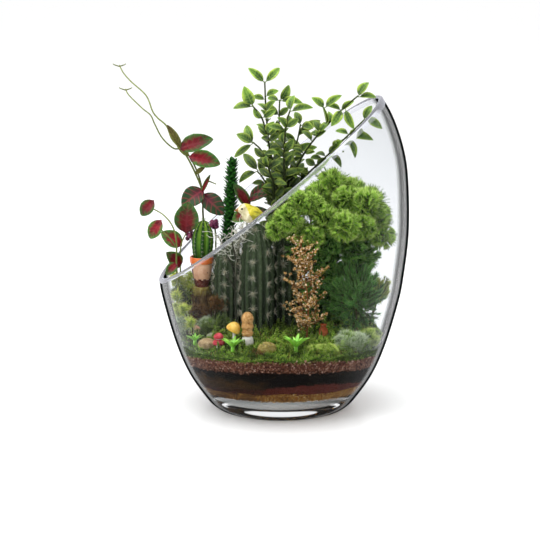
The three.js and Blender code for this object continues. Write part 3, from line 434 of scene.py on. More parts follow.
def glassMaterial(name, look):
    # Where the wall turns edge-on it takes the edge colour and lets less light through; a dark edge colour is
    # painted shade, standing in for the dark rim that real glass shows there. The mirror share is what its
    # surface throws back, and lamps shine through it with hardly any shadow.
    material, node = openMaterial(name)
    facing = node("LayerWeight", {"Blend": 0.5}).outputs["Facing"]
    edge = node("MapRange", {0: facing, 1: look["edgeFrom"], 2: look["edgeTo"]})
    tint = node("MixRGB", {0: edge, 1: look["clear"], 2: look["edge"]})
    clearness = node("MapRange", {0: edge, 3: look.get("faceClear", 1.0), 4: look["edgeClear"]})
    shader = node("BsdfPrincipled", {
        "Base Color": tint, "Transmission Weight": clearness, "Roughness": 0.0, "IOR": 1.5,
        "Specular Tint": look["mirror"], "Specular IOR Level": 0.0})
    bent = node("BsdfRefraction", {"Color": tint, "Roughness": 0.0, "IOR": 1.5})
    bentShare = node("Math MULTIPLY", {0: clearness, 1: 1 - look["mirrorShare"]})
    body = node("MixShader", {0: bentShare, 1: shader, 2: bent})
    shadow = node("BsdfTransparent", {"Color": "#f2f5f4"})
    lamp = node("LightPath", {}).outputs["Is Shadow Ray"]
    node("OutputMaterial", {0: node("MixShader", {0: lamp, 1: body, 2: shadow})})
    return material


# Soda-lime glass, blown in a mould: clear from the front, with a thin dark line of painted shade where it
# turns edge-on.
clearGlass = glassMaterial("clearPressedGlass", {
    "clear": "#f5f6f7", "edge": "#070909", "edgeFrom": 0.68, "edgeTo": 0.82, "edgeClear": 0.0,
    "mirror": "#4c4c4c", "mirrorShare": 0.32})
# The same glass in the thick base: it gathers light and shows no dark line.
baseGlass = glassMaterial("clearPressedGlassBase", {
    "clear": "#ffffff", "edge": "#ffffff", "edgeFrom": 0.9, "edgeTo": 1.0, "edgeClear": 1.0,
    "mirror": "#6e6e6e", "mirrorShare": 1.0})
# The rim, melted round in a flame: a pale lilac-grey band of painted light, with painted shade where it
# turns edge-on, and bright reflections.
lipGlass = glassMaterial("firePolishedGlassLip", {
    "clear": "#dfe0ea", "edge": "#a2a4b4", "edgeFrom": 0.5, "edgeTo": 0.9, "faceClear": 0.84,
    "edgeClear": 0.62, "mirror": "#ffffff", "mirrorShare": 0.9})

# Washed quartz sand: single grains from damp dark brown to dry amber. Real ones are 0.5 mm, and they are
# drawn coarser so that they show.
goldenSand = grainySkin("washedQuartzSand", {
    "grain": 1.4, "rough": 0.7, "ownShare": 0.8, "bump": 0.5,
    "ramp": {0: "#120a05", 0.22: "#2e1b0d", 0.42: "#5e3d1c", 0.62: "#94662c", 0.82: "#bf9150", 1: "#f0dcae"}})
# Crumbled iron-rich clay, dried: dull maroon crumbs of 1 to 2 mm.
redClay = grainySkin("crumbledRedClay", {
    "grain": 2.0, "rough": 0.9, "ownShare": 0.75, "bump": 0.6,
    "ramp": {0: "#140c07", 0.3: "#2c1a10", 0.5: "#4a211a", 0.8: "#6e362e", 1: "#96594c"}})
# Potting soil, sieved and damp: near-black crumbs of 1 to 3 mm.
blackSoil = grainySkin("dampPottingSoil", {
    "grain": 2.4, "rough": 0.85, "ownShare": 0.7, "bump": 0.8,
    "ramp": {0: "#040302", 0.35: "#0e0906", 0.6: "#24170c", 0.85: "#46301a", 1: "#7a5733"}})
# Lava grit, crushed and sieved to 1 to 3 mm: dull red-brown stones, a few of them pale.
redGrit = grainySkin("crushedLavaGrit", {
    "grain": 1.8, "rough": 0.85, "ownShare": 0.9, "bump": 0.7,
    "ramp": {0: "#150b08", 0.3: "#3d2119", 0.55: "#66402f", 0.85: "#9a6e5a", 1: "#dcbca8"}})
# The felt of old shoots under living moss: dull olive clumps of 3 mm.
mossSoil = grainySkin("rootedMossMat", {
    "grain": 3.0, "rough": 0.95, "bump": 0.8,
    "ramp": {0: "#12160a", 0.5: "#2a3612", 0.8: "#4a5c1e", 1: "#6d7c33"}})
print("materials of the glass and the filling are made")

# The outline lists (radius, height) as shares of the half width and of the height. Up to the seam the rows
# are level; above it they rise step by step to the slanted rim.
vessel = {"widest": 203, "highRim": 251, "lowRim": 105, "wall": 4.5, "heel": 15, "heelTop": 50, "floor": 13,
    "fillet": (6, 2.2), "foot": 47, "hollow": 0.9, "baseTop": 24, "seam": 98, "lipHeight": 1.9,
    "around": 240, "footRows": 12, "rimRows": 44, "lipRows": 9, "wallRows": 59, "floorRows": 9,
    "outline": [(.49, 0), (.535, .008), (.602, .035), (.735, .116), (.835, .214), (.926, .344),
        (.965, .43), (1, .571), (.99, .734), (.953, .832), (.87, .93), (.76, 1.01)]}
outlinePoints = [(r * vessel["widest"] / 2, 0, z * vessel["highRim"]) for r, z in vessel["outline"]]
outlineCurve = curved(outlinePoints, 480)


def outerRadius(z):  # read off the outline's curve
    return np.interp(z, outlineCurve[:, 2], outlineCurve[:, 0])


def innerRadius(z):
    # The outer radius less the wall, which thickens into the heel, less an exponential fillet at the floor.
    z = np.asarray(z, float)
    low = 1 - smoothStep(vessel["floor"] - 1, vessel["heelTop"], z)
    wall = vessel["wall"] + vessel["heel"] * low ** 1.2
    reach, fade = vessel["fillet"]
    return outerRadius(z) - wall - reach * np.exp((vessel["floor"] - z) / fade)


mouthSpan = outerRadius(vessel["highRim"]) + outerRadius(vessel["lowRim"])
mouthRise = (vessel["highRim"] - vessel["lowRim"]) / mouthSpan


def rimHeight(turn, radiusAt, drop):
    # Where the wall meets the slanted plane of the mouth, found by halving the height between two bounds.
    low, high = np.full_like(turn, 80.0), np.full_like(turn, 253.0)
    for _ in range(40):
        middle = (low + high) / 2
        reach = radiusAt(middle) * np.cos(turn) + outerRadius(vessel["lowRim"])
        plane = vessel["lowRim"] - drop + reach * mouthRise
        low, high = np.where(middle < plane, middle, low), np.where(middle < plane, high, middle)
    return low


def vesselShape():
    # Rings from the middle of the underside up the outside, over a round lip and down the inside.
    turn = evenTurns(vessel["around"])
    foot, seam, floor = vessel["foot"], vessel["seam"], vessel["floor"]
    underside = np.linspace(3, foot, vessel["footRows"])
    rings = [spun(r, turn, vessel["hollow"] * (1 - (r / foot) ** 3)) for r in underside]
    rings += [spun(r, turn, z) for r, _, z in outlineCurve[outlineCurve[:, 2] < seam][::3]]
    drop = vessel["lipHeight"] * math.sqrt(1 + mouthRise ** 2)
    outerRim, innerRim = rimHeight(turn, outerRadius, drop), rimHeight(turn, innerRadius, drop)
    shares = np.linspace(0, 1, vessel["rimRows"])
    rings += [spun(outerRadius(z), turn, z) for z in (seam + (outerRim - seam) * s for s in shares)]
    lip = len(rings) - 2  # the last row of the outside belongs to the lip
    outside, inside = rings[-1], spun(innerRadius(innerRim), turn, innerRim)
    normal = unit(np.array([-mouthRise, 0, 1]))
    for a in np.linspace(0, math.pi, vessel["lipRows"] + 2)[1:-1]:
        rings.append((outside + inside) / 2 + (outside - inside) / 2 * math.cos(a)
            + normal * vessel["lipHeight"] * math.sin(a))
    rings += [spun(innerRadius(z), turn, z) for z in (seam + (innerRim - seam) * s for s in shares[::-1])]
    heights = floor + (seam - floor) * (np.linspace(1, 0, vessel["wallRows"] + 1)[1:] ** 1.6)
    rings += [spun(innerRadius(z), turn, z) for z in heights]
    floorRadii = np.linspace(float(innerRadius(floor)), 3, vessel["floorRows"] + 1)[1:]
    rings += [spun(r, turn, floor) for r in floorRadii]
    shape = wrapRings(np.stack(rings))
    row = np.arange(len(shape["quads"])) // vessel["around"]
    shape["quadPaint"] = ((row >= lip) & (row <= lip + vessel["lipRows"])).astype(int)
    height = shape["points"][shape["quads"]].mean(1)[:, 2]
    shape["quadPaint"][(row < vessel["footRows"]) | ((row > lip) & (height < vessel["baseTop"]))] = 2
    shape["triPaint"][:] = 2
    return shape


putPiece("glassVessel", vesselShape(), [clearGlass, lipGlass, baseGlass], "glass")
print("glass vessel is blown")

# The heights of the layers' tops, each lying on the one below, and how the filling meets the glass.
filling = {"sand": 28, "clay": 2.2, "clayHeap": 8, "soil": 47, "grit": 56, "moss": 58.5, "pressed": 0.12,
    "cornerGap": 1.4, "around": 180, "lowerRows": 16, "wallRows": 14, "upperRows": 40}


def sag(x, depth):  # falls off to both sides with the square of the distance
    return depth * (x / 80) ** 2


def dish(x, y, depth):  # lies deeper by depth in the middle than near the glass
    return depth * (1 - (x * x + y * y) / 6400)


def ripple(x, y, size):  # a long wave across, crossed by a slower one
    return size * np.sin(x * 0.13 + 1) * np.cos(y * 0.11 - x * 0.05)


def floorTop(x, y):  # just above the glass floor
    return vessel["floor"] + 0.35 + 0 * x


def sandTop(x, y):
    return filling["sand"] + ripple(x, y, 0.8) - sag(x, 2)


def clayTop(x, y):  # a thin skin on the sand, with a round heap at the front right
    heap = np.exp(-((x - 16) / 34) ** 2 - ((y + 50) / 30) ** 2)
    return sandTop(x, y) + filling["clay"] + filling["clayHeap"] * heap


def soilTop(x, y):
    return filling["soil"] + ripple(y, x, 0.8) - sag(x, 6) - dish(x, y, 5)


def gritTop(x, y):
    return filling["grit"] + ripple(x, y, 0.6) - sag(x, 7) - dish(x, y, 7)


def bedTop(x, y):  # flat in the middle, rounded down near the glass, and rising gently to the back
    share = np.minimum(np.hypot(x, y) / 82, 1)
    return filling["moss"] + 5 * (1 - share ** 6) + 0.06 * (y + 66) + ripple(x * 2, y * 2, 0.9) - sag(x, 2)


def onBed(x, y, lift=0.0):  # a point at a height above the moss bed
    return np.array([x, y, float(bedTop(np.float64(x), np.float64(y))) + lift])


def footOf(x, y, depth=9):  # the two lowest points of a stem that is rooted in the bed
    return [[x, y, onBed(x, y)[2] - depth], [x, y, onBed(x, y)[2] + 2]]


def fillRadius(z):  # pressed to the wall, and clear of it only in the corner of the floor
    return innerRadius(z) + filling["pressed"] - filling["cornerGap"] * (1 - smoothStep(19.5, 22, z))


def laidOn(height, r, turn):  # points at the radius r and the angle turn, as high as the surface is there
    x, y = r * np.cos(turn), r * np.sin(turn)
    return stacked(x, y, height(x, y))


def glassEdge(height, turn):  # where a surface meets the glass, by repeated steps: radius and height
    r = np.full_like(turn, 70.0)
    for _ in range(12):
        r = fillRadius(laidOn(height, r, turn)[:, 2])
    return r, laidOn(height, r, turn)[:, 2]


def keepInside(points, gap=1.6):  # draws points nearer to the glass than gap back towards the middle
    room = innerRadius(np.clip(points[:, 2], 20, 250)) - gap
    share = np.minimum(1, room / np.maximum(np.hypot(points[:, 0], points[:, 1]), 1))
    return points * stacked(share, share, np.ones_like(share))


def fenced(shape, gap=1.6):  # a shape with its points kept inside the glass
    return shape | {"points": keepInside(shape["points"], gap)}


def layerShape(bottom, top, toneAt=None):
    # Rings out along the lower surface, up the wall that it is pressed to, and in along the upper one.
    turn = evenTurns(filling["around"])
    (rLow, zLow), (rHigh, zHigh) = glassEdge(bottom, turn), glassEdge(top, turn)
    rings = [laidOn(bottom, rLow * share, turn) for share in np.linspace(0.05, 0.98, filling["lowerRows"])]
    for share in np.linspace(0, 1, filling["wallRows"]):
        z = zLow + (zHigh - zLow) * share
        rings.append(spun(fillRadius(z), turn, z))
    rings += [laidOn(top, rHigh * share, turn) for share in np.linspace(0.98, 0.03, filling["upperRows"])]
    shape = wrapRings(np.stack(rings))
    if toneAt:
        shape["grow"][:, 2] = toneAt(shape["points"])
    return shape


def wallGrains(bottom, top, look):
    # Grains pressed against the glass: flattened balls of their own sizes, tones and turns.
    draw = drawsOf(look)
    n = look["count"]
    turn = draw.uniform(0, fullTurn, n)
    zLow, zHigh = glassEdge(bottom, turn)[1], glassEdge(top, turn)[1]
    z = zLow + (zHigh - zLow) * draw.uniform(0, 1, n) + draw.normal(0, look.get("stray", 0.25), n)
    z = np.maximum(z, vessel["floor"] + 0.8)
    size = draw.uniform(*look["radius"], n)
    origin = spun(fillRadius(z) - size * 0.38, turn, z)
    sizes = stacked(size * 0.6, size * draw.uniform(0.8, 1.25, n), size * draw.uniform(0.7, 1.1, n))
    tone = draw.uniform(0, 1, n)
    if "toneAt" in look:
        tone = np.clip(look["toneAt"](origin) + draw.normal(0, look["toneSpread"], n), 0, 1)
    return scatter(look.get("shape", ball(2, 5)), origin, spun(1, turn, -0.35), draw.normal(size=(n, 3)),
        sizes, tone)


def sandTone(places):  # dark damp sand on the left, golden dry sand on the right and in front
    drier = smoothStep(-17, -9, places[:, 0] + 3 * lumps(places, 15, 3))
    return 0.4 + 0.24 * drier + 0.07 * lumps(places, 9, 8)


# Its wide spread of tones scatters pale grains among the dark ones: partly paler quartz, partly painted
# glints.
sand = {"count": 13000, "radius": (0.45, 1.0), "seed": 11, "shape": grain(), "toneAt": sandTone,
    "toneSpread": 0.2}
putPiece("sandLayer", join([layerShape(floorTop, sandTop, sandTone), wallGrains(floorTop, sandTop, sand)]),
    [goldenSand], "golden_sand")


def clayTone(places):  # damp brown on the left, maroon under the soil in front and on the right
    return 0.3 + 0.38 * smoothStep(-22, -4, places[:, 0] + 4 * lumps(places, 14, 5))


clay = {"count": 3600, "radius": (0.6, 1.1), "seed": 12, "stray": 0.4, "toneAt": clayTone, "toneSpread": 0.14}
putPiece("clayLayer", join([layerShape(sandTop, clayTop, clayTone), wallGrains(sandTop, clayTop, clay)]),
    [redClay], "red_clay")


def soilTone(places):  # black, and brown where roots and sand mix in low down on the left
    low = 1 - smoothStep(36, 42, places[:, 2] + 1.2 * lumps(places, 11, 2))
    return 0.18 + 0.68 * low * (1 - smoothStep(-20, 0, places[:, 0]))


soil = {"count": 5400, "radius": (0.7, 1.5), "seed": 13, "stray": 0.4, "toneAt": soilTone, "toneSpread": 0.13,
    "fibres": 420, "fibre": (2, 6), "fibreRadius": 0.3, "fibreSeed": 63}


def rootFibres():  # pale rootlets that lie flat against the glass, each a needle near the level
    draw = np.random.default_rng(soil["fibreSeed"])
    n = soil["fibres"]
    turn = draw.uniform(0, fullTurn, n)
    zLow, zHigh = glassEdge(clayTop, turn)[1], glassEdge(soilTop, turn)[1]
    z = zLow + (zHigh - zLow) * draw.uniform(0.1, 0.95, n)
    level = stacked(-np.sin(turn), np.cos(turn), 0 * turn) * draw.choice([-1, 1], n)[:, None]
    way = level + upright * draw.normal(0, 0.35, n)[:, None]
    length = draw.uniform(*soil["fibre"], n)
    return spikes(spun(fillRadius(z) - 0.25, turn, z), way, length, soil["fibreRadius"],
        draw.uniform(0.7, 1, n))


putPiece("soilLayer", join([layerShape(clayTop, soilTop, soilTone), wallGrains(clayTop, soilTop, soil),
    rootFibres()]), [blackSoil], "black_soil")

grit = {"count": 6400, "radius": (0.65, 1.4), "seed": 14, "stray": 0.5}
putPiece("gritLayer", join([layerShape(soilTop, gritTop), wallGrains(soilTop, gritTop, grit)]),
    [redGrit], "red_grit")
print("filling is poured")

# Living moss, grown: leafy shoots of 2 to 4 mm, dark at the root, bright yellow-green at the tip.
mossLeaf = leafSkin("freshMossShoots", {
    "ramp": {0: "#28370f", 0.4: "#527a20", 0.75: "#8fb03a", 1: "#dbe37e"}, "margin": "#7a9f38",
    "border": (0.6, 0.95), "mottle": 16, "light": (0.24, 1.5), "rough": 0.6})
# The same moss where it has withered: dull brown with pale tips.
dryMoss = leafSkin("dryBrownMossShoots", {
    "ramp": {0: "#2c1d10", 0.5: "#6b4a28", 1: "#b58c58"}, "margin": "#7c5a34", "border": (0.7, 0.95),
    "mottle": 9, "light": (0.5, 1.3), "rough": 0.8})
mossBed = {"shoots": 17000, "length": (1.8, 4.4), "radius": 0.42, "wallShoots": 5200, "wallLength": (2, 4.5),
    "wallRadius": 0.4, "sprigs": 420, "sprigLeaves": 15, "sprigHeight": (3.5, 11), "leaf": (2.2, 3.6),
    "topGap": 0.2, "wallGap": -0.15, "seed": 15}


def mossHeight(x, y):  # the bed's top, a little lower and uneven, with rounded hummocks towards the back
    places = stacked(x, y, 0 * x)
    hummocks = np.maximum(lumps(places, 34, 7), 0) * 3 * smoothStep(0, 40, y)
    return bedTop(x, y) - 1.2 + 0.9 * lumps(places, 12, 4) + hummocks


def discPlaces(draw, count, gap):  # x and y of places spread evenly over the bed, by the root of a share
    turn = draw.uniform(0, fullTurn, count)
    r = (glassEdge(mossHeight, turn)[0] - gap) * np.sqrt(draw.uniform(0, 1, count))
    return r * np.cos(turn), r * np.sin(turn)


# Painted shade: the bed is coloured darker among the cacti, where they shade it.
def bedToneAndShade(x, y):  # darker among the cacti, bright yellow-green at the right and in front
    middle = np.exp(-((x + 18) / 42) ** 2 - ((y + 12) / 34) ** 2)
    return 0.55 - 0.4 * middle + 0.22 * smoothStep(15, 55, x)


def mossCarpet(draw):
    # Short shoots over the whole bed, taller and lighter in patches, some of them withered.
    n = mossBed["shoots"]
    x, y = discPlaces(draw, n, 1.4)
    origin = stacked(x, y, mossHeight(x, y) - 0.5)
    lean = draw.normal(0, 0.62, (n, 3)) * (1, 1, 0.2) + upright
    swell = 1 + 0.3 * lumps(origin, 9, 5)
    tone = np.clip(bedToneAndShade(x, y) + 0.36 * lumps(origin, 18, 6) + draw.normal(0, 0.16, n), 0, 1)
    carpet = spikes(origin, lean, draw.uniform(*mossBed["length"], n) * swell, mossBed["radius"], tone)
    withered = lumps(origin, 11, 9) + draw.normal(0, 0.5, n) > 1.05
    carpet["triPaint"] = np.repeat(withered * 2, 4)
    return fenced(carpet, mossBed["topGap"])


def mossAtGlass(draw):
    # Shoots against the glass all the way down to the grit, leaning to either side.
    n = mossBed["wallShoots"]
    turn = draw.uniform(0, fullTurn, n)
    zLow, zHigh = glassEdge(gritTop, turn)[1], glassEdge(mossHeight, turn)[1]
    z = zLow + (zHigh - zLow) * draw.uniform(0, 1, n)
    sideways = stacked(-np.sin(turn), np.cos(turn), 0 * turn) * draw.normal(0, 1, n)[:, None]
    way = sideways + upright * draw.uniform(-0.4, 1.0, n)[:, None]
    shoots = spikes(spun(fillRadius(z), turn, z), way, draw.uniform(*mossBed["wallLength"], n),
        mossBed["wallRadius"], draw.uniform(0, 1, n))
    return fenced(shoots, mossBed["wallGap"])


def mossLeafSprigs(draw):
    # Leafy sprigs, taller towards the back; their leaves spiral up each stem by the golden angle.
    n, m = mossBed["sprigs"], mossBed["sprigLeaves"]
    x, y = discPlaces(draw, n, 6)
    tall = draw.uniform(*mossBed["sprigHeight"], n) * (0.7 + 1.1 * smoothStep(-50, 45, y))
    share = np.linspace(0.1, 1, m)
    foot = stacked(x, y, mossHeight(x, y))
    tip = foot + draw.normal(0, 1.3, (n, 3)) * (1, 1, 0) + upright * tall[:, None]
    place = foot[:, None] + (tip - foot)[:, None] * share[:, None]
    turn = np.arange(m) * goldenTurn + draw.uniform(0, 6, (n, 1))
    way = spun(1, turn, 0.35 + 1.3 * share)
    size = (draw.uniform(*mossBed["leaf"], (n, 1)) * (1.1 - 0.5 * share)).ravel()
    tone = np.repeat(bedToneAndShade(x, y) + draw.uniform(-0.4, 0.4, n), m) + draw.normal(0, 0.1, n * m)
    tone = np.clip(tone, 0, 1)
    leaves = scatter(smallLeaf(), place.reshape(-1, 3), way.reshape(-1, 3), upright,
        stacked(size, size * 0.7, size), tone)
    return fenced(leaves)


mossDraw = drawsOf(mossBed)
mossBody = layerShape(gritTop, mossHeight)
mossBody["quadPaint"][:] = mossBody["triPaint"][:] = 1
putPiece("mossBed", join([mossBody, mossCarpet(mossDraw), mossAtGlass(mossDraw), mossLeafSprigs(mossDraw)]),
    [mossLeaf, mossSoil, dryMoss], "bed_moss")
print("moss bed has grown")

# Bark, weathered: fissures of 2 to 3 mm that run up the trunk, so the noise is stretched.
barkWood = grainySkin("weatheredBark", {
    "grain": 2.6, "stretch": (1, 1, 0.16), "rough": 0.9, "bump": 0.9,
    "ramp": {0: "#1d140c", 0.4: "#4a3621", 0.65: "#7a6240", 0.85: "#a08a5c", 1: "#c3b183"}})
# The log's end, sawn, then grown over with a green film: matt olive wood with a 2 mm grain.
sawnWood = grainySkin("sawnLogEnd", {
    "grain": 2.0, "rough": 0.85, "bump": 0.4,
    "ramp": {0: "#5f5327", 0.5: "#8b7b3e", 1: "#b5a662"}})
stump = {"place": (-65, 12), "radius": 9, "top": 95.5, "sawnBand": 6, "fibres": 420, "fibre": (3, 9),
    "seed": 20}


def stumpShape():
    # Circles that taper upwards, moved in and out by long upright lumps; four smaller rings close the top.
    # Loose bark fibres stand along the side.
    x, y = stump["place"]
    foot, topHeight = footOf(x, y, 5)[0][2], stump["top"]
    z = np.linspace(foot, topHeight, 46)[:, None]
    turn = evenTurns(72)
    r = stump["radius"] * (1.08 - 0.16 * (z - foot) / (topHeight - foot)) * (1 + 0 * turn)
    rounding = 0.5 * smoothStep(topHeight - 1.2, topHeight, z)
    r = r - 0.25 + 0.34 * lumps(spun(9, turn, 0.22 * z), 3.2, 20) - rounding
    rings = stacked(x + r * np.cos(turn), y + r * np.sin(turn), z)
    top = [np.array([x, y, 0]) + (rings[-1] - (x, y, 0)) * (s, s, 1) for s in (0.9, 0.7, 0.45, 0.2)]
    body = wrapRings(np.concatenate([rings, np.stack(top)]))
    middles = body["points"][body["quads"]].mean(1)
    body["quadPaint"] = (middles[:, 2] > topHeight - stump["sawnBand"] + lumps(middles, 5, 2)).astype(int)
    body["triPaint"][:] = 1
    draw = drawsOf(stump)
    n = stump["fibres"]
    a, h = draw.uniform(0, fullTurn, n), draw.uniform(foot + 6, topHeight - 7, n)
    out = spun(1, a, 0)
    origin = out * (stump["radius"] * 0.97) + stacked(x, y, h)
    way = stacked(-np.sin(a), np.cos(a), 0 * a) * draw.normal(0, 0.12, n)[:, None] + upright + out * 0.03
    fibres = spikes(origin, way, draw.uniform(*stump["fibre"], n), 0.32, draw.uniform(0, 1, n), spike())
    return join([body, fibres])


putPiece("logStump", stumpShape(), [barkWood, sawnWood], "bark")

# Earthenware, dipped in orange glaze and fired: even and softly shining, pooled over 6 mm.
orangeGlaze = grainySkin("firedOrangeGlaze", {
    "grain": 6, "rough": 0.3, "coat": 0.4, "bump": 0.1, "shine": 0.4,
    "ramp": {0: "#c4501c", 0.45: "#e2702c", 1: "#f08a3c"}})
# The pot's paler front: a soft shine with 5 mm clouds.
peachGlaze = grainySkin("palePeachFrontGlaze", {
    "grain": 5, "rough": 0.36, "coat": 0.3, "bump": 0.15, "shine": 0.4,
    "ramp": {0: "#c98a66", 0.5: "#e0ab86", 1: "#efc6a4"}})
# Its foot and back: a duller maroon, with 4 mm clouds.
maroonGlaze = grainySkin("maroonFootAndBackGlaze", {
    "grain": 4, "rough": 0.45, "bump": 0.2,
    "ramp": {0: "#3c1d18", 0.5: "#5c2e25", 1: "#80463a"}})
# A dot of dark glaze, set with a brush: nearly black and glossy.
darkGlaze = grainySkin("darkGlazeDot", {
    "grain": 2, "rough": 0.3, "bump": 0.1, "ramp": {0: "#1b0f0c", 1: "#33201a"}})
pot = {"place": (-64, 11, 95.8), "around": 64, "rows": 90, "rimBand": 18.9, "footBand": 6.5,
    "dot": (-59.4, 4.7, 108.2),
    "outline": [(0, 0), (4.9, 0), (5.4, 0.6), (6.6, 5.5), (7.9, 11), (8.4, 15), (8.5, 18.6), (9.2, 19.2),
        (9.45, 21), (9.4, 23.4), (8.9, 24), (8.3, 23.6), (8.05, 22), (7.2, 17), (5.9, 9),
        (4.1, 2.4), (3, 2), (0, 2)]}


def potPaint(p):  # orange rim, peach front, maroon round the foot, with uneven borders
    height = p[:, 2] - pot["place"][2] + 0.7 * lumps(p, 6, 6)
    # The back is maroon like the foot, darker than the peach front.
    front = (p[:, 0] - pot["place"][0]) * 0.75 - (p[:, 1] - pot["place"][1]) > -1
    return np.where(height > pot["rimBand"], 0, np.where(height < pot["footBand"], 2, np.where(front, 1, 2)))


potShape = paintFaces(turnedShape(pot, pot["place"]), potPaint)
potDot = scatter(ball(6, 10), pot["dot"], (0.5, -1, 0), upright, [(0.35, 0.9, 0.9)], 0.5, 3)
putPiece("orangePot", join([potShape, potDot]), [orangeGlaze, peachGlaze, maroonGlaze, darkGlaze],
    "terracotta_glaze")

potFill = {"outline": [(0, 14.3), (5.6, 14.3), (6.8, 17.5), (7.5, 21), (6.4, 21.4), (0, 21.6)],
    "around": 40, "rows": 40, "crumbs": 260, "crumb": (0.35, 0.8), "spread": 6.6, "height": 21.3, "seed": 21}


def potSoilShape():  # a turned plug of soil under crumbs that are spread evenly over its top
    draw = drawsOf(potFill)
    n = potFill["crumbs"]
    turn, r = draw.uniform(0, fullTurn, n), potFill["spread"] * np.sqrt(draw.uniform(0, 1, n))
    place = np.array(pot["place"]) + (0, 0, potFill["height"])
    origin = spun(r, turn, draw.uniform(-0.3, 0.2, n)) + place
    crumbs = scatter(ball(2, 5), origin, draw.normal(size=(n, 3)), draw.normal(size=(n, 3)),
        draw.uniform(*potFill["crumb"], (n, 3)), draw.uniform(0, 1, n))
    return join([turnedShape(potFill, pot["place"]), crumbs])


putPiece("potSoil", potSoilShape(), [blackSoil], "black_soil")

# Skin of a young cactus, waxy: dark green faces with yellow-green rib crests, mottled over 2.5 mm.
potCactusSkin = leafSkin("waxyYellowGreenCactus", {
    "ramp": {0: "#33561a", 0.5: "#5c8626", 1: "#7f9f38"}, "margin": "#1c4014", "border": (0.15, 0.8),
    "mottle": 2.5, "light": (0.95, 1.05)})
# Skin of an old cactus under a grey bloom: dull grey-green, lighter on the crests.
greyCactusSkin = leafSkin("dullGreyGreenCactus", {
    "ramp": {0: "#151b11", 0.5: "#26301f", 1: "#39452e"}, "margin": "#455239", "border": (0.3, 1.0),
    "mottle": 4, "light": (0.8, 1.1), "rough": 0.6})
# Dried spines, grown of horn: straw at the root, nearly white at the tip. Real ones are 0.1 mm thick, and
# the large ones are drawn coarser so that they show.
spineHorn = leafSkin("dryPaleSpines", {
    "ramp": {0: "#9a8f72", 0.4: "#d8d2b8", 1: "#f2efdf"}, "margin": "#e4dfc8",
    "light": (0.8, 1.15), "rough": 0.6})


def ribbedBody(base, top, ribs, depth, radiusAt, knob=0.0, rows=70, around=96):
    # An upright body: the radius at each share of its height, drawn in between the ribs by depth, with knobs
    # on each rib by a sine of 4.2 mm.
    t = np.sin(np.linspace(0.0, 0.999, rows) * math.pi / 2)[:, None] ** 0.9
    turn = evenTurns(around)
    crest = np.cos(ribs * turn) * 0.5 + 0.5
    span = np.linalg.norm(np.subtract(top, base))
    knobs = np.maximum(np.sin(t * span / 4.2 * 2 * math.pi), 0) * crest ** 3
    r = radiusAt(t) * (1 - depth * (1 - crest ** 0.7)) + knob * knobs
    middle = np.asarray(base) + (np.asarray(top) - base) * t
    rings = stacked(middle[:, :1] + r * np.cos(turn), middle[:, 1:2] + r * np.sin(turn), middle[:, 2:])
    return wrapRings(rings, stacked(t, crest, 0.5 + 0.5 * knobs))


def rowsOfStars(base, top, ribs, radiusAt, levels, sink, low, high):
    # Spine groups and their outward ways: levels on every rib, half a step apart on every other.
    t, rib = np.meshgrid(np.linspace(low, high, levels), evenTurns(ribs), indexing="ij")
    t = (t + (np.arange(ribs) % 2) * (high - low) / levels / 2).ravel()[:, None]
    rib = rib.ravel()[:, None]
    out = np.hstack([np.cos(rib), np.sin(rib), 0 * rib])
    return base + (top - base) * t + out * (radiusAt(t) * (1 - sink)), out


def spineStars(stars, count, reach, radius, seed, paint=1):
    # Needles lean out all round each place, in a plane square to its outward way.
    at, out = stars
    draw = np.random.default_rng(seed)
    side = unit(np.cross(out, [0.02, 0.01, 1]))
    over = np.cross(side, out)
    turn = (np.arange(count) + draw.uniform(-0.3, 0.3, (len(at), count))) / count * 2 * math.pi
    lean = side[:, None] * np.cos(turn)[..., None] + over[:, None] * np.sin(turn)[..., None]
    way = (out[:, None] * draw.uniform(0.3, 0.9, (len(at), count, 1)) + lean).reshape(-1, 3)
    draw = np.random.default_rng(seed)  # lengths and tones start the same row of draws again
    length, tone = draw.uniform(*reach, len(way)), draw.uniform(0, 1, len(way))
    return spikes(np.repeat(at, count, 0), way, length, radius, tone, paint=paint)


potCactus = {"base": (-63.5, 11, 117.7), "top": (-62, 10, 150.5), "ribs": 8, "seed": 22}


def potCactusShape():
    # The radius swells to the middle as half a sine and falls off at the top as high powers.
    base, top, ribs = np.array(potCactus["base"]), np.array(potCactus["top"]), potCactus["ribs"]

    def radiusAt(t):
        return 5 + 3.6 * np.sin(math.pi * np.minimum(0.12 + t * 0.86, 1)) - 3.6 * t ** 6 - 4.2 * t ** 30
    stars = rowsOfStars(base, top, ribs, radiusAt, 9, 0.02, 0.12, 0.93)
    return join([ribbedBody(base, top, ribs, 0.2, radiusAt, 0.35),
        spineStars(stars, 6, (1.0, 1.9), 0.1, potCactus["seed"])])


putPiece("potCactus", potCactusShape(), [potCactusSkin, spineHorn], "short_cactus")

# The spined cacti in the dark middle.
cacti = {
    "spinedCactusLeft": {"x": -42, "y": 5, "radius": 12.2, "top": 134, "seed": 31},
    "spinedCactusMiddle": {"x": -19, "y": -11, "radius": 13.6, "top": 150.6, "seed": 32},
    "spinedCactusRight": {"x": 4.5, "y": 5, "radius": 12.6, "top": 143.5, "seed": 33},
}
cactusLook = {"ribs": 14, "depth": 0.1, "knob": 0.7, "small": (1.2, 2.2), "smallRadius": 0.1,
    "large": (3.2, 6.6), "largeRadius": 0.2}


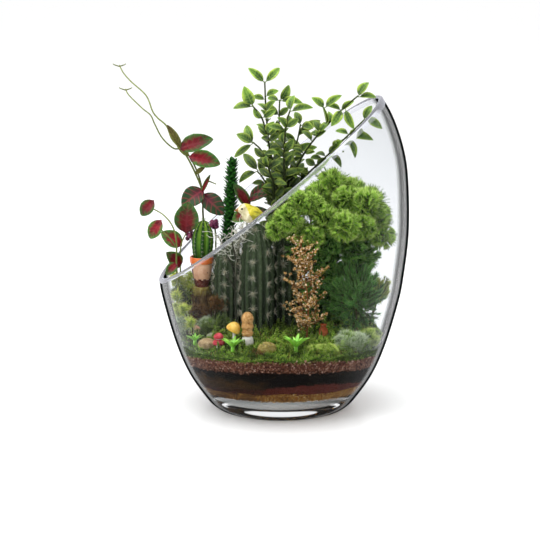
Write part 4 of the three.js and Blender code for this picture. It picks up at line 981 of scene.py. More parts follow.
def spinedCactusShape(cactus):
    # The radius bulges as half a sine and closes the crown as the root of 1 - t^7. Small groups of spines sit
    # on every rib, large ones on every other.
    base = np.array(footOf(cactus["x"], cactus["y"], 5)[0])
    top = np.array([cactus["x"], cactus["y"], cactus["top"]])
    ribs, seed = cactusLook["ribs"], cactus["seed"]

    def radiusAt(t):
        closed = np.sqrt(np.maximum(1 - t ** 7, 0.0004))
        return cactus["radius"] * (0.86 + 0.14 * np.sin(math.pi * t)) * closed
    small = rowsOfStars(base, top, ribs, radiusAt, 16, -0.02, 0.1, 0.93)
    large = rowsOfStars(base, top, ribs // 2, radiusAt, 6, -0.03, 0.2, 0.9)
    return join([ribbedBody(base, top, ribs, cactusLook["depth"], radiusAt, cactusLook["knob"], 100, 140),
        spineStars(small, 5, cactusLook["small"], cactusLook["smallRadius"], seed, 2),
        spineStars(large, 12, cactusLook["large"], cactusLook["largeRadius"], seed + 5)])


for name, cactus in cacti.items():
    putPiece(name, spinedCactusShape(cactus), [greyCactusSkin, spineHorn, greyCactusSkin], "grey_cactus")

# The column cactus, grown as saw-tooth scales of 6 mm: deep green with lighter tips.
columnScales = leafSkin("darkGreenColumnScales", {
    "ramp": {0: "#081a08", 0.45: "#174314", 1: "#3f8030"}, "margin": "#1e5018", "vein": "#0f2c0c",
    "lines": 0.2, "mottle": 6, "light": (0.55, 1.3), "rough": 0.45})
column = {"base": (-47, 29), "top": (-38.4, 12, 198), "scales": 330, "scale": (6.4, 4.6, 4), "seed": 34}


def columnShape():
    # A radius that tapers and closes as the root of 1 - t^9, under scales that stand up and out on a
    # golden-angle spiral.
    base, top = np.array(footOf(*column["base"], 6)[0]), np.array(column["top"], float)

    def radiusAt(t):
        return np.where(t < 0.02, 4.2, 6) * (1 - 0.45 * t) * np.sqrt(np.maximum(1 - t ** 9, 0.002))

    def stemRadius(t):
        return radiusAt(t) * 0.9
    draw = drawsOf(column)
    k = np.arange(column["scales"])
    t = (0.1 + 0.9 * (k + 0.5) / column["scales"])[:, None]
    out = spun(1, k * goldenTurn, 0)
    origin = base + (top - base) * t * 0.985 + out * radiusAt(t) * 0.72
    size = np.array(column["scale"]) * draw.uniform(0.75, 1.1, (len(k), 1))
    scales = scatter(blade(6, 6, ovateLeaf, 0.2, -0.2), origin, out + (0, 0, 0.8), out * -1 + (0, 0, 0.6),
        size, draw.uniform(0, 1, len(k)))
    return join([ribbedBody(base, top, 6, 0.2, stemRadius), scales])


putPiece("columnCactus", columnShape(), [columnScales], "column_cactus")
print("cacti stand")

# Thorn wood, bleached by the sun: pale grey above, and painted dark low down, as shade among the cacti.
paleTwigWood = leafSkin("bleachedThornWoodPaintedShade", {
    "ramp": {0: "#24241a", 0.6: "#34342a", 0.85: "#8c8b78", 1: "#d6d5c6"}, "margin": "#c4c3b0",
    "vein": "#8f8e78", "border": (0.97, 1.4), "lines": 0.1, "mottle": 3, "light": (0.85, 1.1), "rough": 0.75})
# Its finest twigs, dried and curled: chalky, nearly white.
bleachedTwiglets = leafSkin("bleachedTwiglets", {
    "ramp": {0: "#b9b8a2", 1: "#ecebe0"}, "margin": "#d9d8c8", "mottle": 3,
    "light": (0.8, 1.1), "rough": 0.7})
twig = {"limbs": [[*footOf(-35, -24, 7), [-36, -23, 95], [-35, -22, 125], [-30, -14, 152]],
    [[-36, -22, 112], [-41, -19, 124], [-48, -14, 138], [-52, -10, 142]],
    [[-35, -22, 122], [-38, -19, 134], [-39, -14, 146]], [[-36, -23, 100], [-41, -21, 108], [-46, -19, 112]]],
    "thorns": 34, "thorn": (2.5, 6.0), "thornRadius": 0.26, "twiglets": 46, "twiglet": (5, 12), "seed": 41}


def twigShape():
    # Tapering limbs with thorns all round; near the ends of the upper ones stand curled twiglets.
    draw = drawsOf(twig)
    shapes = []
    for k, limb in enumerate(twig["limbs"]):
        trunk, low = k == 0, k == len(twig["limbs"]) - 1
        path = curved(limb, 34)
        shapes.append(tube(path, np.linspace(0.85, 0.4, 34) * (1 if trunk else 0.8), 7, 0, 0.4))
        n = twig["thorns"] if k < 2 else twig["thorns"] // 2
        origin = pointAt(path, draw.uniform(0.45 if trunk else 0.1, 1, n))
        way = draw.normal(size=(n, 3)) + (0, -0.3, 0.5)
        length, tone = draw.uniform(*twig["thorn"], n), draw.uniform(0, 1, n)
        shapes.append(spikes(origin, way, length, twig["thornRadius"], tone, spike()))
        if low:  # the low limb stays bare
            continue
        for start in pointAt(path, draw.uniform(0.84 if trunk else 0.4, 1, twig["twiglets"] // (k + 1))):
            out = unit(draw.normal(size=3) * (1, 0.6, 0.5) + (0, -0.2, 0.15)) * draw.uniform(*twig["twiglet"])
            curl = unit(np.cross(out, draw.normal(size=3))) * draw.uniform(1, 3)
            line = curved([start, start + out * 0.5 + curl, start + out], 9)
            shapes.append(tube(line, np.linspace(0.24, 0.12, 9), 4, 1))
    return join(shapes)


putPiece("paleThornTwig", twigShape(), [paleTwigWood, bleachedTwiglets], "pale_twig")

# Box leaf, grown: leathery, dark and glossy along the midrib, with a ragged yellow-green margin and pale
# veins 2 mm apart.
boxLeaf = leafSkin("glossyBoxLeaf", {
    "ramp": {0: "#1b3810", 0.45: "#2f5417", 1: "#648c2e"}, "margin": "#aac24e", "border": (0.38, 1.05),
    "vein": "#9cb852", "lines": 0.35, "veins": 6, "mottle": 5, "light": (0.2, 1.24), "ragged": 0.5,
    "shine": 0.35})
# Its stems, young green bark: dark and matt, greener to the tip.
greenStem = leafSkin("woodyGreenStem", {
    "ramp": {0: "#1e2010", 0.5: "#262e15", 1: "#46551f"}, "margin": "#2a3217", "mottle": 4, "rough": 0.65})
# Each stem: foot, way, leaves as joint, tip and width, the shares with pairs, and the pairs' length.
leafyStems = {
    "leafyStemCrown": {
        "foot": (-3, 32), "way": [[-2, 26, 163], [-9, 26, 203], [-12, 26, 236], [-13, 25, 259]],
        "leaves": [[-13, 25, 258, -25, 22, 270, 6], [-13, 25, 258, -1, 28, 270, 6]],
        "pairs": [0.66, 0.78, 0.88], "length": 11},
    "leafyStemLeft": {
        "foot": (-9, 27), "way": [[-3, 16, 168], [-9, 14, 206], [-15, 10, 231], [-23, 8, 242]],
        "leaves": [[-22, 8, 241, -29, 3, 256, 9], [-22, 8, 241, -38, 9, 241, 6]],
        "pairs": [0.62, 0.74, 0.86], "length": 12},
    "leafyStemBack": {
        "foot": (1, 37), "way": [[0, 36, 161], [-1, 38, 201], [-1.5, 39, 227], [-1, 39, 243]],
        "leaves": [[-1, 39, 242, -11, 43, 245, 5], [-1, 39, 242, 7, 38, 254, 7],
            [-1, 39, 242, 17, 34, 242, 6]], "pairs": [0.58, 0.7, 0.82], "length": 12},
    "leafyStemFront": {
        "foot": (7, 26), "way": [[3, 11, 166], [2.5, 4, 207], [4, 0, 228], [7, -1, 239]],
        "leaves": [[7, -1, 238, 24, -3, 243, 6], [7, -1, 238, 9, 3, 251, 7]],
        "pairs": [0.58, 0.7, 0.82, 0.92], "length": 13},
    "leafyStemLowLeft": {
        "foot": (-15, 24), "way": [[-6, 6, 166], [-9, -2, 190], [-15, -7, 207], [-22, -10, 215]],
        "leaves": [[-22, -10, 214, -34, -12, 222, 7], [-22, -10, 214, -28, -6, 228, 7],
            [-22, -10, 214, -37, -12, 204, 5]], "pairs": [0.68, 0.84], "length": 12},
    "leafyStemSide": {
        "foot": (-14, 34), "way": [[-6, 24, 158], [-10, 20, 173], [-15, 18, 183], [-19, 17, 188]],
        "leaves": [[-19, 17, 188, -34, 14, 181, 6], [-18, 17, 188, -30, 20, 202, 7],
            [-15, 18, 184, -16, 22, 199, 6]], "pairs": [0.8], "length": 11},
    "leafyStemLong": {
        "foot": (12, 31),
        "way": [[6, 20, 168], [9, 14, 183], [18, 8, 203], [30, 4, 220], [48, -3, 240], [60, -6, 251]],
        "leaves": [[60, -6, 250, 67, -6, 262, 7], [60, -6, 250, 74.5, -5, 251, 5],
            [50, -4, 241, 56, -10, 226, 6], [48, -3, 240, 40, -11, 229, 7], [36, 1, 226, 34, -4, 242, 2],
            [34, -4, 241, 25, -6, 250, 6], [34, -4, 241, 46, -6, 252, 6]],
        "pairs": [0.6, 0.7, 0.8], "length": 12},
    "leafyStemArm": {
        "foot": (12, 39), "way": [[8, 32, 162], [17, 30, 179], [34, 28, 196], [51, 26, 213], [67, 24, 229]],
        "leaves": [[66, 24, 228, 83, 22, 223, 7], [66, 24, 228, 72, 25, 240, 6],
            [52, 26, 214, 75, 25, 214, 7], [52, 26, 214, 62, 25, 198, 6], [42, 27, 204, 47, 20, 212, 7],
            [38, 28, 200, 52, 33, 203, 6], [38, 28, 200, 50, 26, 191, 6]],
        "pairs": [0.62, 0.72], "length": 11},
    "leafyStemShort": {
        "foot": (4, 45), "way": [[4, 46, 159], [9, 48, 191], [14, 49, 211], [16, 49, 222]],
        "leaves": [[16, 49, 221, 26, 46, 220, 7], [16, 49, 221, 12, 52, 232, 6],
            [14, 49, 212, 31, 49, 226, 7], [10, 48, 197, 24, 45, 207, 6]],
        "pairs": [0.62, 0.76], "length": 12},
}
boxBlade = blade(11, 8, ovalLeaf, 0.22, 0.22, stalk=0.13)
crownLook = {"youngPairs": 7, "shadedLeaves": 16, "stem": (1.1, 0.62)}


def leafyStemShape(stem, order):
    # A leaf is a joint, a direction, a width and a roll: first those at the tip and joints, then opposite
    # pairs, each turned from the last, then single leaves on a golden-angle spiral.
    draw = seededDraw(50 + order)
    path = curved([*footOf(*stem["foot"]), *stem["way"]], 60)
    length, leaves = stem["length"], []
    for jx, jy, jz, tx, ty, tz, width in stem["leaves"]:
        leaves.append(([jx, jy, jz], [tx - jx, ty - jy, tz - jz], width * 1.1, draw(-0.8, 0.8)))
    for k, share in enumerate(stem["pairs"]):
        for turn in (k * 2.4 + 0.4, k * 2.4 + 0.4 + math.pi):
            way = unit([math.cos(turn), math.sin(turn) * 0.45, draw(0.5, 1.1)])
            leaves.append((pointAt(path, share), way * length * draw(0.9, 1.15), length * 0.55,
                draw(-1.0, 1.0)))
    for k, share in enumerate(np.linspace(0.47, 0.92, crownLook["youngPairs"])):  # they fill the crown
        for turn in (k * 1.9 + 1.3, k * 1.9 + 1.3 + math.pi):
            joint = pointAt(path, share + draw(-0.02, 0.02))
            way = unit([math.cos(turn), math.sin(turn) * 0.7, draw(0.1, 1.1)])
            leaves.append((joint, way * length * draw(0.85, 1.15), length * draw(0.42, 0.54),
                draw(-1.2, 1.2)))
    # inside the plant and low down
    for k, share in enumerate(np.linspace(0.2, 0.8, crownLook["shadedLeaves"])):
        turn = k * goldenTurn + order
        joint = pointAt(path, share + draw(-0.02, 0.02))
        way = unit([math.cos(turn), math.sin(turn), draw(0.1, 0.9)])
        leaves.append((joint, way * length * draw(0.7, 0.95), length * draw(0.36, 0.46), draw(-1.6, 1.6)))
    joints, ways, widths, rolls = (np.array(part, float) for part in zip(*leaves))
    reach = np.linalg.norm(ways, axis=1)
    up = stacked(rolls, -1, 0.7)
    # Higher leaves are lighter: partly the fresh young leaves at the tips, partly painted shade on the lower
    # ones.
    tone = smoothStep(165, 262, joints[:, 2]) * 0.75 + np.array([draw(0, 0.3) for _ in rolls])
    crown = scatter(boxBlade, joints, ways, up, stacked(reach, widths, reach), tone)
    return join([crown, tube(path, np.linspace(*crownLook["stem"], 60), 7, 1)])


for order, (name, stem) in enumerate(leafyStems.items()):
    putPiece(name, leafyStemShape(stem, order), [boxLeaf, greenStem], "box_leaf")
print("leafy stems have grown")

# Crimson leaf, grown: velvety and red, with pink veins 2 to 3 mm apart, and a frayed green margin that
# ends in a thin pale rim.
crimsonLeaf = leafSkin("crimsonVeinedLeaf", {
    "ramp": {0: "#5c0c16", 0.3: "#8c1220", 0.58: "#7c1a22", 0.76: "#4a4c24", 1: "#467c34"},
    "margin": "#3d7430", "border": (0.42, 0.84), "vein": "#b84a54", "lines": 0.28, "veins": 6,
    "mottle": 2.6, "ragged": 0.7, "light": (0.5, 1.05), "rim": "#6a9a3e", "shine": 0.22})
# Its older leaf: dark glossy green with bold crimson stripes along the veins.
stripedLeaf = leafSkin("darkGreenStripedLeaf", {
    "ramp": {0: "#4a1520", 0.35: "#59202a", 0.6: "#27401f", 1: "#1d3a1c"}, "margin": "#24451f",
    "border": (0.3, 0.75), "vein": "#a83446", "lines": 0.5, "veins": 5, "mottle": 6,
    "light": (0.75, 1.05), "shine": 0.35})
# Its young leaf, half unrolled: olive with a purple tip.
oliveLeaf = leafSkin("olivePurpleLeaf", {
    "ramp": {0: "#47491f", 0.5: "#5a5626", 1: "#3f2c22"}, "margin": "#6d7434", "border": (0.6, 0.95),
    "vein": "#86803e", "lines": 0.4, "veins": 6, "mottle": 5, "light": (0.8, 1.15)})
# Stems and tendrils, drying in the air: matt olive, paler to the tip.
tendril = leafSkin("dryOliveTendril", {
    "ramp": {0: "#4a4a22", 0.5: "#67743a", 1: "#8f9a55"}, "margin": "#6f7a3c", "mottle": 4, "rough": 0.6})
# Each leaf: joint, tip, width, then its colour: 0 crimson, 1 striped dark green, 2 olive.
redStems = {
    "redLeafStemUpper": {
        "foot": (-60, 35), "limbs": [
            [[-61, 30, 120], [-63, 24, 152], [-63, 20, 170], [-68, 17, 185], [-75, 14, 200], [-81, 12, 208],
                [-87, 12, 215], [-91, 12, 225], [-98, 12, 231.5], [-102, 12, 237], [-107, 14, 249],
                [-119, 16, 260], [-125, 16, 267], [-128, 16, 273]],
            [[-63, 20, 169], [-65.5, 21, 182], [-71, 22, 195], [-78, 22, 205], [-86, 21, 206],
                [-95, 20, 214.5], [-101, 20, 226], [-104, 18, 233], [-110.5, 18, 238.5], [-121, 18, 249],
                [-123.5, 18, 254]],
            [[-63, 20, 171], [-59, 20, 179], [-52, 21, 177]]],
        "leaves": [[-80, 12, 207, -55, 6, 216, 14, 0], [-73, 20, 199, -49, 15, 195, 14, 0],
            [-80, 12, 208, -90, 10, 226, 6, 2], [-75, 22, 200, -84, 21, 212, 6, 2],
            [-63, 19, 171, -57, 19, 185, 3.5, 0], [-68, 17, 186, -61, 15, 192, 4, 2],
            [-63, 20, 172, -79, 11, 162, 16, 1], [-63, 21, 168, -46, 14, 154, 15, 1]],
        "forks": [[-128, 16, 272], [-123.5, 18, 253]]},
    "redLeafStemLow": {
        "foot": (-73, 20), "limbs": [[[-79, 15, 88], [-81, 8, 112], [-80, 5, 130], [-75, 4, 142]]],
        "leaves": [[-76, 4, 141, -74, 1, 165, 19, 0], [-80, 6, 130, -95, 3, 141, 13, 0],
            [-81, 8, 113, -90, -3, 125, 12, 0]]},
    "redLeafStemArching": {
        "foot": (-75, -12),
        "limbs": [
            [[-81, -10, 88], [-83, -10, 115], [-83, -10, 136], [-86, -9, 148], [-93, -9, 157],
                [-103, -9, 163]],
            [[-83, -10, 132], [-89, -12, 140], [-96, -13, 147]]],
        "leaves": [[-101, -9, 168, -111, -10, 157, 11, 0], [-95, -13, 153, -104, -14, 139, 11, 0],
            [-83, -10, 118, -91, -14, 110, 8, 0]]},
    "redLeafStemBack": {
        "foot": (-27, 33), "limbs": [[[-28, 27, 120], [-27, 18, 150], [-24, 12, 168]]],
        "leaves": [[-26, 15, 160, -37, 9, 179, 9, 0], [-24, 12, 167, -11, 10, 179, 8, 1],
            [-25, 13, 165, -12, 2, 172, 6, 1], [-26, 16, 155, -38, 6, 150, 11, 0],
            [-26, 16, 155, -11, 6, 158, 7, 1]]},
}
broadBlade = blade(16, 16, roundLeaf, 0.15, 0.12, stalk=0.04, wave=0.03)
tendrilFork = {"spread": 5, "height": 3.2, "radius": (0.5, 0.3)}


def redStemShape(stem):
    # Limbs along their ways, a leaf from each joint to its tip, and at a fork two prongs that curl away as a
    # sine while they rise.
    paths = [curved([*(footOf(*stem["foot"]) if k == 0 else []), *limb], 12 * (len(limb) + 2))
        for k, limb in enumerate(stem["limbs"])]
    shapes = [tube(path, np.linspace(0.95 if k == 0 else 0.75, 0.45, len(path)), 7, 3)
        for k, path in enumerate(paths)]
    for k, (jx, jy, jz, tx, ty, tz, width, paint) in enumerate(stem["leaves"]):
        way = np.array([tx - jx, ty - jy, tz - jz], float)
        length = np.linalg.norm(way) + 1
        origin = np.array([jx, jy, jz]) - unit(way)
        shapes.append(scatter(broadBlade, origin, way, (0, -1, 0.5), [[length, width * 1.05, length]],
            (k * 0.618) % 1, paint))
    a = np.linspace(0, 1, 14)[:, None]
    for place in stem.get("forks", []):
        for side in (-1, 1):
            curl = np.hstack([side * tendrilFork["spread"] * np.sin(a * 1.7), 0.6 * a,
                tendrilFork["height"] * a ** 1.2 * (1 - 0.35 * a)])
            shapes.append(tube(curl + place, np.linspace(*tendrilFork["radius"], 14), 6, 3))
    return join(shapes)


for name, stem in redStems.items():
    putPiece(name, redStemShape(stem), [crimsonLeaf, stripedLeaf, oliveLeaf, tendril], "red_leaf")

# Ripe berry skin, grown and taut: deep purple with a soft shine and paler drupelets.
berrySkin = grainySkin("ripePurpleBerry", {
    "grain": 2.5, "rough": 0.28, "ownShare": 0.6, "bump": 0.1, "coat": 0.2,
    "ramp": {0: "#2a1224", 0.4: "#58223f", 0.75: "#8f4262", 1: "#cf8fa8"}})
berries = {"clusters": [[(-53.5, 11, 146), 7], [(-73.5, 15, 136), 5]], "radius": 2.0, "spread": 2.8,
    "drupelets": 16, "drupelet": 0.85, "seed": 70}


def berryTwigShape():
    # At the end of each limb berries sit in even directions, each a knot of small balls.
    joint, n = [-53, 27, 120], berries["drupelets"]
    shapes = [tube(curved([*footOf(-56, 32), joint, [-53, 18, 140], [-54, 10, 147]], 40), 0.7, 7, 1),
        tube(curved([joint, [-62, 27, 126], [-72, 20, 133], [-74, 14, 137]], 30), 0.6, 7, 1)]
    for k, (middle, count) in enumerate(berries["clusters"]):
        centres = np.array(middle) + allRound(count) * berries["spread"]
        knots = (centres[:, None] + allRound(n) * berries["radius"] * 0.62).reshape(-1, 3)
        draw = np.random.default_rng(berries["seed"] + k)
        tone = np.clip(np.repeat(draw.uniform(0, 1, count), n) + draw.normal(0, 0.12, count * n), 0, 1)
        shapes.append(scatter(ball(4, 7), knots, (1, 0, 0), upright, berries["drupelet"], tone))
    return join(shapes)


putPiece("berryTwig", berryTwigShape(), [berrySkin, tendril], "berries")
print("red leaves and berries hang")

# Fan foliage, grown and kept moist: fresh yellow-green at the cut tips, 1 to 2 mm wide, deeper inside.
fanFinger = leafSkin("freshFanFoliage", {
    "ramp": {0: "#365d1c", 0.4: "#6a9731", 0.75: "#a1c64c", 1: "#ebf3a6"}, "margin": "#436921",
    "border": (0.3, 1.0), "mottle": 14, "light": (0.4, 1.42), "rough": 0.5})
# The same foliage in painted shade: duller and bluer, for the lower heads.
fanPaintedShade = leafSkin("paintedShadeFanFoliage", {
    "ramp": {0: "#2a4a1c", 0.5: "#4a7a30", 1: "#8fb858"}, "margin": "#365a22", "border": (0.4, 1.0),
    "mottle": 12, "light": (0.5, 1.25), "rough": 0.6})
# Its stems, dry brown bark: matt and faintly ringed.
fanStem = leafSkin("brownFanStem", {
    "ramp": {0: "#4a3a22", 0.5: "#6b5430", 1: "#7d7040"}, "margin": "#6b5430", "vein": "#8a7446",
    "lines": 0.2, "mottle": 4, "rough": 0.75})
# Each frond: its limbs, then its heads and the lower ones in painted shade, as a middle and a reach.
fanFronds = {
    "fanFrondLeft": {
        "foot": (28, -9), "seed": 61, "limbs": [[[27, -10, 100], [25, -13, 130], [23, -14, 160]],
            [[25, -13, 132], [16, -17, 148], [7, -20, 156]]],
        "heads": [[6, -20, 156, 14], [24, -14, 166, 13], [25, -24, 142, 11], [15, -14, 146, 12],
            [-3, -16, 147, 11], [15, -19, 169, 11], [35, -18, 156, 13]],
        "lower": [[27, -9, 118, 15], [14, -4, 130, 13], [27, -6, 96, 13], [30, 2, 78, 13], [38, -14, 134, 13],
            [37, -8, 112, 13]]},
    "fanFrondTop": {
        "foot": (40, 24), "seed": 62, "limbs": [[[41, 22, 110], [42, 16, 150], [41, 9, 176]],
            [[42, 18, 145], [51, 26, 160], [57, 29, 168]]],
        "heads": [[41, 9, 178, 15], [58, 30, 169, 14], [40, 4, 158, 13], [54, 16, 172, 12], [30, 2, 172, 12],
            [51, -3, 168, 14]],
        "lower": [[41, 19, 132, 16], [41, 22, 108, 15], [40, 24, 86, 14], [26, 26, 120, 14], [44, 6, 132, 14],
            [46, 34, 140, 13]]},
    "fanFrondRight": {
        "foot": (63, 20), "seed": 63, "limbs": [[[61, 16, 90], [60, 9, 112], [61, 2, 135], [66, -2, 160]],
            [[61, 3, 132], [72, -2, 138], [82, -5, 140]], [[61, 3, 130], [56, -10, 140], [50, -22, 150]],
            [[61, 8, 120], [70, 17, 135], [76, 21, 146]]],
        "heads": [[67, -3, 164, 17], [81, -5, 139, 12], [50, -25, 151, 14.5], [75, 21, 145, 13],
            [64, -14, 148, 13], [77, -2, 155, 13], [72, 12, 166, 12]],
        "lower": [[61, 6, 132, 15], [60, 10, 110, 14], [70, 14, 120, 13], [64, 22, 92, 14], [57, -8, 128, 14],
            [64, -4, 120, 12]]},
}
fanLook = {"fans": 24, "fingers": 5, "pairs": 10, "spread": 1.2, "needle": (1.3, 2.2), "radius": 0.22,
    "swell": 1.06, "plates": 230, "teeth": 7, "plateSpread": 0.95, "notch": 0.42, "plateShare": (0.42, 0.62),
    "paintedShadeFans": 9, "paintedShadeShare": 0.6, "usualReach": 14}


def fanFeathers(middle, reach, draw, fans, paint):
    # Fans stand out of a ball; each opens into fingers with needles in opposite pairs.
    f, m = fanLook["fingers"], fanLook["pairs"]
    way = unit(allRound(fans, -0.85) + draw.normal(0, 0.14, (fans, 3)))
    side = unit(np.cross(way, draw.normal(size=way.shape)))
    root = np.array(middle) + way * reach * draw.uniform(0.3, 0.55, (fans, 1))
    angle = np.linspace(-0.5, 0.5, f)[:, None] * fanLook["spread"]
    finger = way[:, None] * np.cos(angle) + side[:, None] * np.sin(angle)
    across = side[:, None] * np.cos(angle) - way[:, None] * np.sin(angle)
    length = reach * fanLook["swell"] * draw.uniform(0.46, 0.66, (fans, 1, 1)) * np.cos(angle * 0.9)
    share = np.linspace(0.12, 1, m)[:, None]
    place = root[:, None, None] + finger[:, :, None] * (length[..., None] * share)
    lean = np.stack([finger[:, :, None] + across[:, :, None] * hand + 0 * share for hand in (-0.9, 0.9)])
    needle = draw.uniform(*fanLook["needle"], (2, fans, f, m)) * (1.1 - 0.5 * share[:, 0] ** 2) * (reach / 15)
    own = np.clip(draw.uniform(0.1, 0.9, (fans, 1, 1)) + draw.normal(0, 0.12, (2, fans, f, m)), 0, 1)
    origin = np.broadcast_to(place, (2, fans, f, m, 3)).reshape(-1, 3)
    return spikes(origin, lean.reshape(-1, 3), needle.ravel(), fanLook["radius"], own.ravel(), paint=paint)


def fanHead(middle, reach, draw, paint=0):
    # Feathers under toothed plates that point outwards. Most plates stand at the surface; the squared draw
    # puts some deeper down, and these are painted darker as shade; plates that face up are painted lighter.
    swell = (reach / fanLook["usualReach"]) ** 1.5
    feathers = fanFeathers(middle, reach, draw,
        fanLook["paintedShadeFans"] if paint else int(fanLook["fans"] * swell), paint)
    n = int(fanLook["plates"] * swell * (fanLook["paintedShadeShare"] if paint else 1))
    way = unit(allRound(n, -0.9) + draw.normal(0, 0.16, (n, 3)))
    length = reach * draw.uniform(*fanLook["plateShare"], n)
    inner = draw.uniform(0, 1, n) ** 2
    root = np.array(middle) + way * ((reach * (1 - 0.5 * inner)) - length)[:, None]
    # Painted shade and light: deeper plates darker, upward-facing ones lighter.
    tone = np.clip(0.75 - 0.6 * inner + draw.normal(0, 0.16, n) + 0.15 * way[:, 2], 0, 1)
    plates = scatter(toothedFan(fanLook["teeth"], fanLook["plateSpread"], fanLook["notch"]), root,
        way + draw.normal(0, 0.25, way.shape), draw.normal(size=way.shape),
        stacked(length, length, length), tone, paint)
    whole = join([feathers, plates])
    return fenced(whole)


def fanFrondShape(frond):  # tapering limbs, bright heads and shaded ones
    draw = drawsOf(frond)
    paths = [curved([*(footOf(*frond["foot"]) if k == 0 else []), *limb], 36)
        for k, limb in enumerate(frond["limbs"])]
    shapes = [tube(path, np.linspace(1.6 if k == 0 else 1.1, 0.7, 36), 8, 1) for k, path in enumerate(paths)]
    shapes += [fanHead(head[:3], head[3], draw) for head in frond["heads"]]
    # The lower heads take the material of painted shade.
    shapes += [fanHead(head[:3], head[3], draw, 2) for head in frond["lower"]]
    return join(shapes)


for name, frond in fanFronds.items():
    putPiece(name, fanFrondShape(frond), [fanFinger, fanStem, fanPaintedShade], "fan_foliage")
print("fan foliage has opened")

# Needles of the dark bush, grown: stiff, satin, deep green with pale tips. Real ones are 0.3 mm thick, and
# they are drawn twice as thick so that they show.
darkNeedles = leafSkin("darkBluishNeedles", {
    "ramp": {0: "#2a5520", 0.5: "#4d8a38", 1: "#a8cf7c"}, "margin": "#5a9642", "border": (0.6, 0.95),
    "mottle": 9, "light": (0.4, 1.35), "rough": 0.5})
# Needles of the tuft: soft, moist and yellow-green.
yellowNeedles = leafSkin("yellowGreenMossNeedles", {
    "ramp": {0: "#5f7f20", 0.5: "#a8c03a", 1: "#ecdf84"}, "margin": "#c2cc4c", "mottle": 6,
    "light": (0.55, 1.3), "rough": 0.6})
# Their wood, with thin dark bark: matt.
twigWood = leafSkin("darkTwigWood", {
    "ramp": {0: "#33291a", 1: "#5a4a2c"}, "margin": "#4a3c24", "rough": 0.8})
tufts = {
    "needleBush": {"slot": "dark_needles", "foot": (58, -17), "lean": (0, 0), "lift": 27,
        "core": (19, 14, 26), "reach": 14, "sprigs": 290, "lowest": -0.9, "needles": 34,
        "needle": (2.6, 4.6), "radius": 0.33, "stem": 2.4, "seed": 64, "material": darkNeedles},
    "yellowGreenTuft": {"slot": "yellow_green_moss", "foot": (73, 11),
        "lean": (6, -3), "lift": 26, "core": (9, 13, 9), "reach": 12, "sprigs": 100,
        "lowest": -0.7, "needles": 34, "needle": (2, 3.8), "radius": 0.3, "stem": 1.6,
        "seed": 65, "material": yellowNeedles},
}


def tuftShape(tuft):
    # Sprigs stand out of an oval core, each from its own depth, with needles on a golden-angle spiral.
    draw = drawsOf(tuft)
    x, y = tuft["foot"]
    middle = onBed(x, y, tuft["lift"]) + (*tuft["lean"], 0)
    way = allRound(tuft["sprigs"], tuft["lowest"])
    depth = draw.uniform(0.15, 0.95, (len(way), 1))
    aim = unit(way * 0.8 + (0, 0, 0.6) + draw.normal(0, 0.3, way.shape))
    start = middle + way * tuft["core"] * depth - aim * tuft["reach"] * 0.25
    tip = keepInside(start + aim * tuft["reach"] * draw.uniform(0.75, 1.0, (len(way), 1)), 4)
    n = tuft["needles"]
    share = np.linspace(0.1, 1, n)[:, None] ** 0.8
    place = start[:, None] + (tip - start)[:, None] * share
    axis = unit(tip - start)
    side = unit(np.cross(axis, (0.2, 0.1, 1)))
    over = np.cross(axis, side)
    turn = (np.arange(n) * goldenTurn)[:, None]
    around = side[:, None] * np.cos(turn) + over[:, None] * np.sin(turn)
    lean = around * 0.8 + axis[:, None] * (0.7 + 0.8 * share ** 3)
    length = draw.uniform(*tuft["needle"], len(way) * n)
    own = np.clip(np.repeat(draw.uniform(0.1, 0.9, len(way)), n) + draw.normal(0, 0.1, len(length)), 0, 1)
    needles = spikes(place.reshape(-1, 3), lean.reshape(-1, 3), length, tuft["radius"], own)
    stems = [tube(np.linspace(a, b, 4), 0.35, 4, 1) for a, b in zip(start, tip)]
    trunk = curved([*footOf(x, y), (middle + footOf(x, y)[1]) / 2 + (0.6, 0.4, 0), middle], 16)
    return join([needles, *stems, tube(trunk, np.linspace(tuft["stem"], tuft["stem"] * 0.5, 16), 8, 1)])


for name, tuft in tufts.items():
    putPiece(name, tuftShape(tuft), [tuft["material"], twigWood], tuft["slot"])

# Cushion moss, grown with a dry frosty felt: matt greyish green with nearly white tips.
frostyShoots = leafSkin("frostyGreyMoss", {
    "ramp": {0: "#5f7a44", 0.45: "#a0b880", 1: "#f0f6dc"}, "margin": "#bccd9c", "border": (0.7, 0.95),
    "mottle": 5, "light": (0.7, 1.3), "rough": 0.8})
# Cushion moss, moist: lime green with pale yellow tips.
limeShoots = leafSkin("limeMossShoots", {
    "ramp": {0: "#46661a", 0.45: "#98ba38", 1: "#ecf290"}, "margin": "#b4d04e", "border": (0.7, 0.95),
    "mottle": 5, "light": (0.6, 1.2), "rough": 0.7})
cushions = {
    "frostyMoss": {"slot": "frosty_moss", "place": (54, -48), "half": (12, 7, 10),
        "clumps": 34, "shoots": 250, "length": (2.4, 5.6), "seed": 66, "mixed": 0.35,
        "material": frostyShoots},
    "limeMossRight": {"slot": "lime_moss", "place": (69, -30), "half": (6, 7, 7),
        "clumps": 20, "shoots": 260, "length": (2.0, 5.0), "seed": 67, "mixed": 0.15, "material": limeShoots},
    "limeMossFront": {"slot": "lime_moss", "place": (31, -64), "half": (11, 4.5, 3.5),
        "clumps": 26, "shoots": 220, "length": (1.6, 3.8), "seed": 68, "mixed": 0.25, "material": limeShoots},
}


